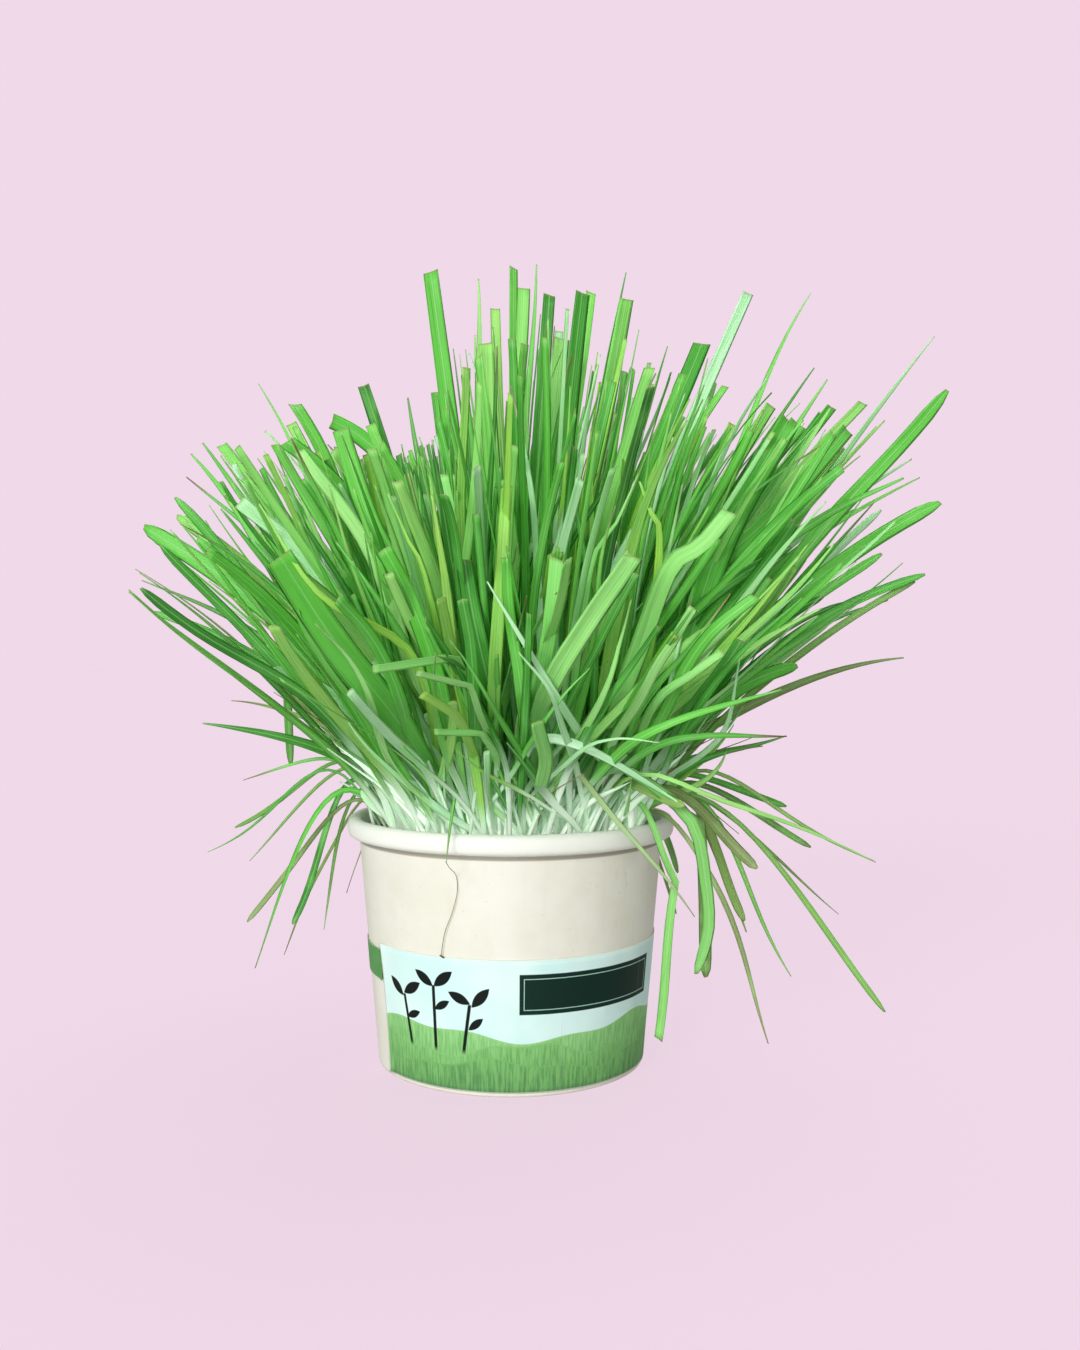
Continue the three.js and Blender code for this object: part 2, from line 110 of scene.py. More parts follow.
RIM_UNDERSIDE = TUB_HEIGHT - RIM_HEIGHT
WALL_SLOPE = (WALL_RADIUS_UNDER_RIM - FOOT_RADIUS) / RIM_UNDERSIDE

# Leaning and drooping blades that make the outline:
# [tip x, tip y, tip z, width, lean at the root, lean at the tip, cut square or pointed]
OUTLINE_BLADES = [
    [-121, 34, 163, 5.7, 30, 52, CUT],
    [-104, 10, 164, 4.4, 28, 50, CUT],
    [-120, 28, 145, 2.6, 34, 62, POINTED],
    [-110, 5, 134, 3.1, 36, 66, CUT],
    [-108, 38, 180, 2.4, 32, 46, POINTED],
    [-102, 20, 185, 3.9, 28, 42, POINTED],
    [-90, -15, 183, 3.5, 26, 40, POINTED],
    [-98, 46, 192, 4.1, 28, 42, CUT],
    [-82, 28, 209, 2.2, 22, 32, POINTED],
    [-64, -23, 182, 4.9, 14, 48, CUT],
    [-68, 15, 200, 4.5, 20, 32, CUT],
    [-60, 40, 199, 5.7, 16, 56, CUT],
    [-51, 55, 214, 4.9, 18, 28, CUT],
    [-40, -23, 187, 3.5, 18, 22, CUT],
    [61, 19, 220, 5.8, 17, 24, CUT],
    [75, 15, 235, 3.8, 18, 26, CUT],
    [99, 34, 240, 2.7, 24, 34, POINTED],
    [90, -10, 206, 3, 26, 38, POINTED],
    [105, 36, 212, 3.4, 26, 40, POINTED],
    [72, -36, 190, 3.9, 22, 38, CUT],
    [90, 10, 193, 6.9, 24, 42, CUT],
    [92, -23, 192, 3.4, 26, 38, CUT],
    [120, 22, 196, 3.9, 30, 44, POINTED],
    [121, -24, 212, 2.4, 30, 38, POINTED],
    [122, -32, 195, 4.2, 32, 40, CUT],
    [121, -3, 180, 3.6, 33, 48, POINTED],
    [120, -14, 173, 2.6, 34, 52, POINTED],
    [121, -29, 164, 4.4, 34, 56, CUT],
    [118, -25, 144, 3.4, 36, 62, CUT],
    [119, 15, 138, 3.2, 36, 64, POINTED],
    [85, -42, 137, 3.6, 32, 58, CUT],
    [121, 5, 120, 3.4, 38, 76, POINTED],
    [88, 20, 95, 2.9, 36, 84, POINTED],
    [81, -28, 118, 4.5, 28, 66, CUT],
    [72, -24, 95, 2.3, 32, 82, POINTED],
    [87, 15, 73, 3.8, 22, 108, CUT],
    [89, -10, 64, 3.9, 24, 115, CUT],
    [104, -25, 62, 2.6, 30, 115, POINTED],
    [66, -47, 64, 4.1, 18, 128, CUT],
    [106, 25, 37, 2.3, 28, 128, POINTED],
    [72, 5, 39, 4, 12, 150, CUT],
    [82, -15, 27, 2.4, 18, 150, POINTED],
    [108, -20, 18, 3.2, 26, 142, CUT],
    [71, -37, 14, 2.5, 16, 160, POINTED],
    [-90, -15, 101, 3.8, 34, 86, POINTED],
    [-90, 24, 106, 2.2, 36, 84, POINTED],
    [-83, 8, 82, 2.2, 30, 105, POINTED],
    [-66, -36, 117, 3.4, 28, 76, CUT],
    [-92, 0, 61, 2.5, 26, 116, POINTED],
    [-89, 25, 65, 3.3, 26, 114, CUT],
    [-76, -20, 44, 2.9, 16, 140, CUT],
    [-68, 10, 37, 3.8, 12, 150, CUT],
    [-73, 24, 24, 2.2, 16, 156, POINTED],
    [-59, 16, 34, 2.5, 8, 172, POINTED],
    [-54, -88, 141, 7.6, 26, 62, CUT],
    [11, -78, 146, 4.2, 25, 48, CUT],
    [29, -82, 145, 4.3, 27, 52, CUT],
    [-6, -75, 139, 2.5, 22, 58, POINTED],
    [-2, -60, 166, 4.4, 20, 36, CUT],
    [-16, -100, 121, 3.1, 30, 84, CUT],
    [-17, -50, 66, 2, 6, 168, POINTED],
    [45, -58, 82, 4.2, 24, 100, CUT],
    [14, 104, 158, 5.2, 30, 52, CUT],
    [-30, 100, 172, 3.8, 28, 46, POINTED],
    [38, 98, 186, 4.6, 26, 42, CUT],
    [4, 92, 204, 4.2, 22, 34, CUT],
    [-62, 82, 168, 5.6, 28, 50, CUT],
    [70, 78, 176, 3.6, 28, 46, POINTED],
    [-22, 98, 112, 3.2, 34, 80, POINTED],
    [30, 92, 66, 3.4, 22, 118, CUT],
    [-44, 62, 42, 3, 14, 146, POINTED],
    [58, 60, 30, 3.6, 12, 152, CUT],
]

# Upright blades in the middle: [tip x, tip y, tip z, width, cut square or pointed]
TOP_BLADES = [
    [-32, 10, 201, 3.8, POINTED],
    [-24, -5, 236, 4.8, CUT],
    [-10, 10, 238, 3.5, POINTED],
    [-5, 30, 234, 4, CUT],
    [-7, -20, 211, 4.9, CUT],
    [1, 15, 243, 3.2, CUT],
    [4, -12, 229, 3.9, CUT],
    [8, 5, 241, 3.1, POINTED],
    [11, -27, 223, 3.6, CUT],
    [16, 12, 220, 5.4, CUT],
    [22, 0, 231, 4.9, CUT],
    [26, 25, 238, 3.9, CUT],
    [36, 10, 240, 2.8, POINTED],
    [34, -15, 225, 5, CUT],
]

# Folded blades that hang from a sharp kink: [kink x, y, z, tip x, y, z, width, lean at the kink]
FOLDED_BLADES = [
    [55, -20, 73, 56, -21, 28, 4.4, 112],
    [46, -41, 60, 40, -43, 17, 3.2, 140],
    [-72, 24, 127, -71, 25, 85, 3.3, 84],
    [34, 62, 96, 36, 66, 52, 4, 100],
]

# Blades and stems nearest to the eye: [points from foot to tip, width, tone, cut square or pointed]
NEAR_BLADES = [
    [[-20, -28, 80], [-24, -58, 120], [-46, -78, 136], [-61, -80, 158], 2.6, "lime", POINTED],
    [[-12, -25, 79], [-15, -52, 127], [-18, -62, 148], [-20, -66, 162], 3.6, "olive", POINTED],
    [[-15, -20, 79], [-21, -58, 137], [-26, -64, 151], [-31, -68, 162], 2.2, "lime", POINTED],
    [[-12, -15, 78], [-15, -45, 148], [-18, -50, 169], 3.6, "light", CUT],
    [[11, -20, 79], [7, -45, 149], [4, -50, 174], [0, -48, 193], 2.4, "mint", POINTED],
    [[24, -15, 78], [21, -40, 138], [18, -47, 160], [15, -50, 177], 2.6, "deep", POINTED],
    [[19, -20, 76], [21, -50, 141], [27, -58, 155], [33, -60, 168], 2.2, "light", POINTED],
    [[26, -15, 75], [38, -52, 138], [49, -60, 150], [56, -62, 158], 5.0, "light", CUT],
    [[32, -20, 79], [39, -48, 147], [37, -54, 158], [34, -52, 167], 4.0, "lime", POINTED],
    [[-3, -40, 90], [-8, -64, 106], [-10, -74, 113], [-12, -77, 114], [-22, -88, 117], 1.8, "light", CUT],
    [[-8, -40, 88], [-11, -66, 101], [-13, -75, 106], [-14, -77, 107], [-21, -86, 112], 2.6, "lime", CUT],
    [[-3, -42, 86], [-5, -64, 96], [-7, -74, 101], [-8, -76, 102], [-18, -86, 103], 1.9, "light", CUT],
    [[18, -36, 73], [11, -44, 78], [-4, -56, 88], [-14, -62, 97], 1.2, "lime", POINTED],
    [[-16, -34, 71], [-22, -46, 89], [-31, -54, 99], [-41, -64, 112], 2.6, "mint", CUT],
    [[-41, -5, 70], [-43, -8, 84], [-44, -12, 95], [-47, -16, 111], 1.8, "deep", POINTED],
    [[-32, -28, 71], [-35, -32, 79], [-38, -36, 86], 2.6, "lime", POINTED],
    [[19, -36, 70], [13, -46, 80], [7, -52, 89], [-1, -52, 98], 2.8, "deep", POINTED],
    [[13, -34, 73], [9, -50, 86], [8, -58, 96], [7, -62, 104], 4.0, "light", CUT],
    [[15, -32, 75], [26, -54, 94], [41, -60, 103], [72, -50, 112], 2.8, "fresh", POINTED],
    [[21, -32, 75], [35, -50, 94], [50, -52, 100], [75, -42, 99], 2.2, "fresh", POINTED],
    [[25, -30, 76], [35, -50, 91], [58, -56, 83], [99, -40, 65], 1.4, "lime", POINTED],
    [[29, -26, 72], [35, -33, 80], [41, -38, 85], 2.0, "white", POINTED],
    [[18, -34, 73], [23, -42, 82], [32, -46, 87], 1.7, "white", POINTED],
    [[17, -28, 69], [17, -34, 79], [17, -36, 85], 2.2, "white", CUT],
    [[34, -26, 70], [33, -31, 80], [31, -34, 86], 2.2, "white", CUT],
    [[10, -28, 73], [14, -44, 91], [31, -46, 76], [50, -42, 50], 1.7, "straw", POINTED],
    [[-3, -30, 74], [3, -50, 109], [0, -60, 135], [-1, -64, 146], 3.0, "fresh", CUT],
    [[-20, -30, 76], [-29, -56, 109], [-35, -68, 125], [-42, -78, 135], 3.4, "fresh", CUT],
    [[-26, -30, 76], [-32, -50, 98], [-40, -66, 118], [-48, -76, 129], 2.4, "light", POINTED],
    [[31, -28, 75], [40, -50, 109], [49, -60, 125], [62, -66, 136], 3.2, "fresh", CUT],
    [[25, -30, 76], [34, -54, 112], [41, -62, 125], [46, -68, 133], 2.6, "light", CUT],
    [[37, -26, 75], [49, -44, 103], [61, -52, 122], [76, -56, 136], 3.0, "deep", POINTED],
    [[-9, -32, 76], [-9, -52, 104], [-10, -62, 122], [-12, -70, 135], 3.2, "deep", CUT],
    [[5, -32, 75], [23, -58, 109], [28, -66, 125], [30, -72, 135], 2.2, "light", POINTED],
    [[37, -24, 73], [39, -40, 98], [42, -50, 117], [47, -58, 136], 2.0, "mint", POINTED],
    [[-29, -26, 74], [-30, -44, 101], [-33, -56, 125], [-40, -66, 145], 2.8, "deep", POINTED],
    [[14, -34, 75], [-1, -58, 102], [-10, -70, 118], [-15, -76, 125], 1.8, "fresh", POINTED],
    [[-11, -34, 73], [3, -52, 93], [13, -62, 110], [20, -68, 118], 1.6, "fresh", POINTED],
    [[0, -34, 73], [16, -54, 95], [26, -62, 100], [38, -66, 99], 1.4, "mint", POINTED],
    [[-23, -34, 73], [-17, -48, 93], [-15, -54, 104], [-15, -58, 109], 2.8, "lime", CUT],
    [[22, -34, 73], [13, -56, 99], [10, -64, 112], [2, -70, 122], 2.2, "mint", POINTED],
    [[38, -18, 78], [52, -33, 92], [59, -38, 103], [63, -40, 122], 1.8, "mint", POINTED],
    [[-18, -30, 80], [-28, -60, 102], [-42, -80, 123], [-54, -92, 144], 9.4, "fresh", CUT],
    [[35, -24, 80], [21, -46, 97], [8, -58, 117], [-6, -64, 140], 2.5, "mint", POINTED],
    [[-3, -26, 83], [-4, -48, 112], [-3, -56, 138], [-1, -58, 165], 3.4, "lime", CUT],
    [[8, -30, 89], [8, -50, 112], [10, -58, 130], [12, -60, 146], 4.6, "light", CUT],
    [[5, -30, 83], [11, -54, 111], [20, -62, 130], [31, -66, 146], 5.6, "light", CUT],
    [[-3, -24, 82], [-7, -44, 109], [-10, -52, 128], [-12, -56, 146], 5.0, "deep", CUT],
    [[-11, -26, 83], [-17, -50, 112], [-25, -60, 133], [-32, -66, 148], 4.6, "fresh", CUT],
    [[-7, -40, 87], [-12, -64, 110], [-14, -76, 119], [-16, -79, 120], [-32, -92, 118], 2.4, "light", CUT],
    [[31, -30, 83], [36, -50, 108], [47, -56, 124], [57, -58, 137], 2.4, "fresh", POINTED],
    [[33, -32, 89], [38, -50, 108], [47, -56, 116], [55, -58, 122], 2.5, "light", CUT],
    [[38, -20, 86], [50, -38, 105], [57, -44, 116], [62, -46, 125], 3.8, "deep", CUT],
    [[3, -34, 84], [6, -48, 99], [20, -54, 97], [45, -56, 82], 2.7, "white", POINTED],
    [
        [20, -28, 80], [29, -44, 91], [38, -50, 87], [48, -54, 77],
        [51, -54, 62], [52, -53, 49], [49, -52, 37], 3.4, "hung", CUT,
    ],
    [[38, -14, 84], [51, -24, 125], [66, -20, 160], [82, -14, 190], 8.0, "fresh", CUT],
    [[42, -10, 87], [60, -14, 134], [78, -10, 167], [96, -5, 195], 4.4, "light", POINTED],
    [[38, -12, 86], [62, -16, 143], [85, -12, 175], [105, -8, 196], 3.4, "lime", CUT],
    [[43, -12, 90], [66, -22, 140], [88, -26, 159], [111, -28, 171], 4.2, "fresh", POINTED],
    [[38, -12, 90], [55, -18, 137], [73, -18, 160], [99, -14, 187], 5.2, "fresh", CUT],
    [[-12, -10, 84], [-29, -22, 137], [-40, -24, 160], [-49, -20, 186], 5.6, "fresh", CUT],
    [[-21, -16, 85], [-42, -34, 125], [-55, -38, 147], [-74, -40, 163], 4.8, "mint", CUT],
    [[-18, -14, 81], [-31, -28, 125], [-42, -30, 153], [-60, -26, 179], 4.2, "light", CUT],
    [[-16, -24, 82], [-24, -44, 114], [-35, -50, 136], [-46, -52, 151], 3.0, "fresh", POINTED],
]

# Crest of the tuft as the eye sees it: [x, z] in the upright plane through the tub's axis
CREST = [
    [-125, 150], [-110, 162], [-89, 181], [-68, 193], [-49, 187], [-25, 191], [-20, 220],
    [9, 230], [27, 224], [58, 210], [89, 202], [110, 199], [125, 172],
]
# Lower edge of the leaning blades as the eye sees it, in the same plane
SKIRT = [
    [-107, 139], [-79, 126], [-64, 105], [-49, 76], [-45, 0],
    [48, 0], [57, 86], [73, 104], [88, 122], [127, 145],
]

# The eye looks level at the tub, from so far in front of its axis and so high
EYE_BACK = 395
EYE_HEIGHT = 123


# Seeded draws

class Draw:
    """A seeded stream of numbers between two limits."""

    def __init__(self, seed):
        self.state = seed

    def __call__(self, low, high):
        self.state = (self.state * 16807) % 2147483647
        return low + (high - low) * (self.state / 2147483647)


solid_draw = Draw(SEEDS["solid"])


# Places of the blades, by the same rule as the solid part

def wall_radius(height):
    """Outer radius of the tub's wall at a height."""
    return FOOT_RADIUS + WALL_SLOPE * height


def cone_radius(height):
    """Radius of the upright middle's cone at a height."""
    return CORE_RADIUS + CONE_SLOPE * (height - MAT_TOP)


def width_share(along, cut, neck=NECK):
    """Share of the full width along a blade: a narrow sheath, the broad leaf, then the tip."""
    sheath = 0.42 + 0.58 * min(1, along / neck)
    if cut:
        return sheath * (1 - 0.15 * max(0, (along - 0.7) / 0.3))
    return sheath * (1 - 0.86 * max(0, (along - 0.55) / 0.45) ** 1.4)


def half_width(blade, along):
    """Half a solid blade's width, with the room that its keel takes."""
    return blade.width * width_share(along, blade.cut) / 2 + KEEL_ROOM


def handle(lean, heading, length):
    """Step from one end of a centre line along its lean there."""
    tilt = math.radians(lean)
    level = math.sin(tilt) * length
    return Vector((level * math.cos(heading), level * math.sin(heading), math.cos(tilt) * length))


def blade_point(blade, along):
    """A point on the centre line, which leaves the root and reaches the tip at the stated leans."""
    end = blade.kink or blade.tip
    if blade.kink and along > blade.kink_at:
        return blade.kink.lerp(blade.tip, (along - blade.kink_at) / (1 - blade.kink_at))
    t = along / blade.kink_at if blade.kink else along
    heading = math.atan2(end.y - blade.root.y, end.x - blade.root.x)
    first = blade.root + handle(blade.start_lean, heading, blade.lift)
    second = end - handle(blade.end_lean, heading, blade.hang)
    s = 1 - t
    return (
        blade.root * (s * s * s)
        + first * (3 * s * s * t)
        + second * (3 * s * t * t)
        + end * (t * t * t)
    )


def make_blade(root, tip, width, start_lean, end_lean, cut, draw=solid_draw):
    """A blade's shape; the solid's own turn and twist are drawn too, to keep the draws in step."""
    chord = (root - tip).length
    droops = end_lean > DROOP_LEAN
    draw(-30, 30)
    draw(-45, 45)
    return SimpleNamespace(
        root=root,
        tip=tip,
        width=width,
        start_lean=start_lean,
        end_lean=end_lean,
        cut=cut,
        kink=None,
        kink_at=1,
        lift=38 if droops else chord * 0.36,
        hang=12 + chord * 0.42 if droops else chord * 0.36,
        picked=False,
    )


def is_clear(blade, inside_cone):
    """True where a blade stays out of the tub and, if asked, out of the middle cone."""
    for step in range(1, 25):
        along = step / 24
        point = blade_point(blade, along)
        radius = math.hypot(point.x, point.y)
        half = half_width(blade, along)
        over_rim = INSIDE_RIM - half < radius < RIM_RADIUS + half + 0.6
        if over_rim and point.z < TUB_HEIGHT + half + 0.4:
            return False
        if inside_cone and point.z > MAT_TOP and radius - half < cone_radius(point.z) + 0.5:
            return False
    return True


def settle(blade, inside_cone=True):
    """Straightens a blade's foot until it clears the rim, then moves its root."""
    for attempt in range(14):
        if is_clear(blade, inside_cone):
            break
        if blade.end_lean > DROOP_LEAN:
            blade.lift += 2
            blade.start_lean += (24 - blade.start_lean) * 0.3
        else:
            blade.start_lean = max(15, blade.start_lean - 3)
            blade.end_lean = max(blade.start_lean, blade.end_lean - 2)
        if attempt > 5:
            share = 0.96 if math.hypot(blade.root.x, blade.root.y) > 24 else 1.04
            blade.root.x *= share
            blade.root.y *= share
    return blade


def in_bunch(centre, offset, radius, height, half):
    """A point kept a blade's half width inside the planes between bunches."""
    room = BUNCH_SPAN / 2 - math.degrees(math.asin((half + GAP) / radius))
    turn = math.radians(centre + max(-room, min(room, offset)))
    return Vector((math.cos(turn) * radius, math.sin(turn) * radius, height))


def bunch_of(x, y):
    turn = math.degrees(math.atan2(y, x))
    return (math.floor(turn / BUNCH_SPAN + 0.5) * BUNCH_SPAN + 360) % 360


def offset_in(centre, x, y):
    return (math.degrees(math.atan2(y, x)) - centre + 900) % 360 - 180


def spread_tips(centre, count):
    """Rule-made tips: outer ones lean further, and every ninth droops, except over the front."""
    rows = []
    over_front = centre > 180
    for i in range(count):
        share = (i + solid_draw(0, 1)) / count
        droops = i % 9 == 8 and not over_front
        lean = solid_draw(86, 130) if droops else 16 + share * 40 + solid_draw(-4, 4)
        growth = 1.01 + RIGHT_GROWTH * math.cos(math.radians(centre))
        length = solid_draw(50, 66) if droops else (solid_draw(132, 170) - share * 42) * growth
        turn = math.radians(centre + (i * GOLDEN_SHARE % 1 * 2 - 1) * 20.5)
        limit = 1 / math.hypot(math.cos(turn) / SIDE_REACH, math.sin(turn) / FRONT_REACH)
        foot = 36 if droops else 16 + share * 18
        radius = min(limit, foot + math.sin(math.radians(lean)) * length)
        height = max(22, MAT_TOP + math.cos(math.radians(lean)) * length)
        start_lean = solid_draw(14, 24) if droops else max(14, lean * 0.74)
        end_lean = min(170, lean + solid_draw(20, 40)) if droops else lean * solid_draw(1, 1.5)
        cut = solid_draw(0, 1) < 0.5
        x, y = math.cos(turn) * radius, math.sin(turn) * radius
        rows.append([x, y, height, solid_draw(3, 5.2), start_lean, end_lean, cut])
    return rows


def lean_of(row):
    return math.atan2(math.hypot(row[0], row[1]) - 20, row[2] - MAT_TOP)


def bunched_blades(centre):
    """Blades of one bunch: roots stand in rows across the mat, upright blades in the inner rows."""
    picked = [row for row in OUTLINE_BLADES if bunch_of(row[0], row[1]) == centre]
    wanted = picked + spread_tips(centre, max(LEAST_SPREAD, BUNCH_BLADES - len(picked)))
    wanted.sort(key=lean_of)
    blades = []
    placed = 0
    for ring, radius in enumerate(ROOT_RINGS):
        left = len(wanted) - placed
        share = math.floor(len(wanted) * radius / RING_SUM + 0.5)
        seats = left if ring == len(ROOT_RINGS) - 1 else min(left, share)
        group = wanted[placed : placed + seats]
        group.sort(key=lambda row: offset_in(centre, row[0], row[1]))
        for seat, row in enumerate(group):
            x, y, z, width, start_lean, end_lean, cut = row
            half = width / 2 + KEEL_ROOM
            spot = (seat + 0.5) / seats * 2 - 1
            root_radius = radius + (0.9 if seat % 2 else -0.9) + solid_draw(-0.4, 0.4)
            root = in_bunch(centre, spot * BUNCH_SPAN / 2, root_radius, MAT_TOP - ROOT_DEPTH, half * 0.6)
            tip = in_bunch(centre, offset_in(centre, x, y), math.hypot(x, y), z, half)
            blades.append(settle(make_blade(root, tip, width, start_lean, end_lean, cut)))
            blades[-1].picked = row in picked
        placed += seats
    return blades


def kinked_blades(centre):
    """Blades of one bunch that hang from a sharp kink."""
    blades = []
    for kink_x, kink_y, kink_z, tip_x, tip_y, tip_z, width, kink_lean in FOLDED_BLADES:
        if bunch_of(tip_x, tip_y) == centre:
            half = width / 2 + KEEL_ROOM
            offset = offset_in(centre, kink_x, kink_y)
            root = in_bunch(centre, offset, OUTER_ROOTS, MAT_TOP - ROOT_DEPTH, half)
            kink = in_bunch(centre, offset, math.hypot(kink_x, kink_y), kink_z, half)
            tip_offset = offset_in(centre, tip_x, tip_y)
            tip = in_bunch(centre, tip_offset, math.hypot(tip_x, tip_y), tip_z, half)
            blade = make_blade(root, tip, width, 10, kink_lean, CUT)
            blade.kink, blade.kink_at = kink, 0.6
            blade.lift, blade.hang = 20, 18
            blade.picked = True
            blades.append(settle(blade))
    return blades


def keep_in_cone(blade):
    """Draws a blade towards the axis until it lies inside the middle cone."""
    def leaves_cone():
        for step in range(13):
            point = blade_point(blade, step / 12)
            radius = math.hypot(point.x, point.y)
            if radius + half_width(blade, step / 12) > cone_radius(max(MAT_TOP, point.z)) - 0.4:
                return True
        return False

    for _ in range(20):
        if not leaves_cone():
            break
        blade.root.x *= 0.93
        blade.root.y *= 0.93
        blade.tip.x *= 0.98
        blade.tip.y *= 0.98
    return blade


def middle_blades():
    """Upright blades: tips spread on a spiral, roots under them nearer the axis."""
    rows = [list(row) for row in TOP_BLADES]
    for i in range(CORE_BLADES):
        turn = math.radians(i * 137.5)
        height = solid_draw(172, 226)
        reach = (cone_radius(height) - 5) * math.sqrt((i + 0.5) / CORE_BLADES)
        width = solid_draw(2.8, 4.8)
        rows.append([math.cos(turn) * reach, math.sin(turn) * reach, height, width, solid_draw(0, 1) < 0.5])
    blades = []
    for i, (x, y, z, width, cut) in enumerate(rows):
        root = Vector((x * ROOT_DRAW, y * ROOT_DRAW, MAT_TOP - ROOT_DEPTH))
        lean = math.degrees(math.atan2(math.hypot(x, y) * (1 - ROOT_DRAW), z - MAT_TOP))
        blades.append(keep_in_cone(make_blade(root, Vector((x, y, z)), width, lean * 0.8, lean * 1.2, cut)))
        blades[-1].picked = i < len(TOP_BLADES)
    return blades


# Shader maths

class Wire:
    """A shader socket that adds Math nodes when it is used in an expression."""

    def __init__(self, finish, socket):
        self.finish = finish
        self.socket = socket

    def math(self, operation, *values):
        sockets = dict(enumerate(values))
        return self.finish.node("ShaderNodeMath", {"operation": operation}, sockets)

    def __add__(self, other):
        return self.math("ADD", self, other)

    def __sub__(self, other):
        return self.math("SUBTRACT", self, other)

    def __mul__(self, other):
        return self.math("MULTIPLY", self, other)

    def __radd__(self, other):
        return self.math("ADD", other, self)

    def __rsub__(self, other):
        return self.math("SUBTRACT", other, self)

    def __rmul__(self, other):
        return self.math("MULTIPLY", other, self)

    def least(self, other):
        return self.math("MINIMUM", self, other)

    def most(self, other):
        return self.math("MAXIMUM", self, other)

    def sine(self):
        return self.math("SINE", self)

    def size(self):
        return self.math("ABSOLUTE", self)

    def ramp(self, low, high):
        """0 up to low and 1 from high, smooth between."""
        return self.finish.node(
            "ShaderNodeMapRange",
            {"interpolation_type": "SMOOTHSTEP"},
            {"Value": self, "From Min": low, "From Max": high},
        )

    def within(self, low, high, soft):
        """1 between two limits, with soft edges."""
        return self.ramp(low - soft, low + soft) * (1 - self.ramp(high - soft, high + soft))


class Finish:
    """A material built round one Principled shader."""

    def __init__(self, name, gloss=0.5, coat_roughness=0.03):
        self.material = bpy.data.materials.new(name)
        self.material.use_nodes = True
        self.tree = self.material.node_tree
        self.shader = self.tree.nodes["Principled BSDF"]
        self.put(self.shader.inputs["Specular IOR Level"], gloss)
        self.put(self.shader.inputs["Coat Roughness"], coat_roughness)

    def put(self, socket, value):
        if isinstance(value, Wire):
            self.tree.links.new(value.socket, socket)
        elif socket.type == "RGBA":
            socket.default_value = (*value, 1)
        else:
            socket.default_value = value

    def node(self, kind, settings=None, sockets=None, output=0):
        """Adds any node from its type, its settings, and the values or wires of its sockets."""
        made = self.tree.nodes.new(kind)
        for name, value in (settings or {}).items():
            if name == "stops":
                elements = made.color_ramp.elements
                while len(elements) < len(value):
                    elements.new(0.5)
                for element, (place, colour) in zip(elements, value):
                    element.position = place
                    element.color = (*colour, 1)
            else:
                setattr(made, name, value)
        for socket, value in (sockets or {}).items():
            self.put(made.inputs[socket], value)
        return Wire(self, made.outputs[output])

    def surface(self, **wires):
        for socket, value in wires.items():
            self.put(self.shader.inputs[socket.replace("_", " ").title()], value)
        return self.material

    def place(self):
        return self.node("ShaderNodeTexCoord", output="Object")

    def stored(self, name):
        return self.node("ShaderNodeAttribute", {"attribute_name": name}, output="Fac")

    def joined(self, x, y, z=0):
        return self.node("ShaderNodeCombineXYZ", {}, {"X": x, "Y": y, "Z": z})

    def stretched(self, where, scale):
        return self.node("ShaderNodeVectorMath", {"operation": "MULTIPLY"}, {0: where, 1: scale})

    def noise(self, where, scale, detail=3, roughness=0.5, distortion=0):
        sockets = {"Vector": where, "Scale": scale, "Detail": detail}
        sockets.update({"Roughness": roughness, "Distortion": distortion})
        return self.node("ShaderNodeTexNoise", {}, sockets)

    def specks(self, where, scale):
        """Distance from the nearest of many scattered points."""
        return self.node("ShaderNodeTexVoronoi", {}, {"Vector": where, "Scale": scale}, "Distance")

    def mix(self, share, first, second):
        """A colour between two, by a share of 0 to 1."""
        return self.node("ShaderNodeMix", {"data_type": "RGBA"}, {0: share, 6: first, 7: second}, 2)

    def shades(self, value, *stops):
        return self.node("ShaderNodeValToRGB", {"stops": stops}, {"Fac": value}, "Color")

    def bumped(self, height, depth):
        """A normal from a height of 0 to 1 and its depth in metres."""
        return self.node("ShaderNodeBump", {}, {"Height": height, "Distance": depth}, "Normal")


# Finishes

# Painted glow: strength of the light that the pale feet of the stems give off, in place of light that
# shines through them
STEM_PAINTED_GLOW = 0.24


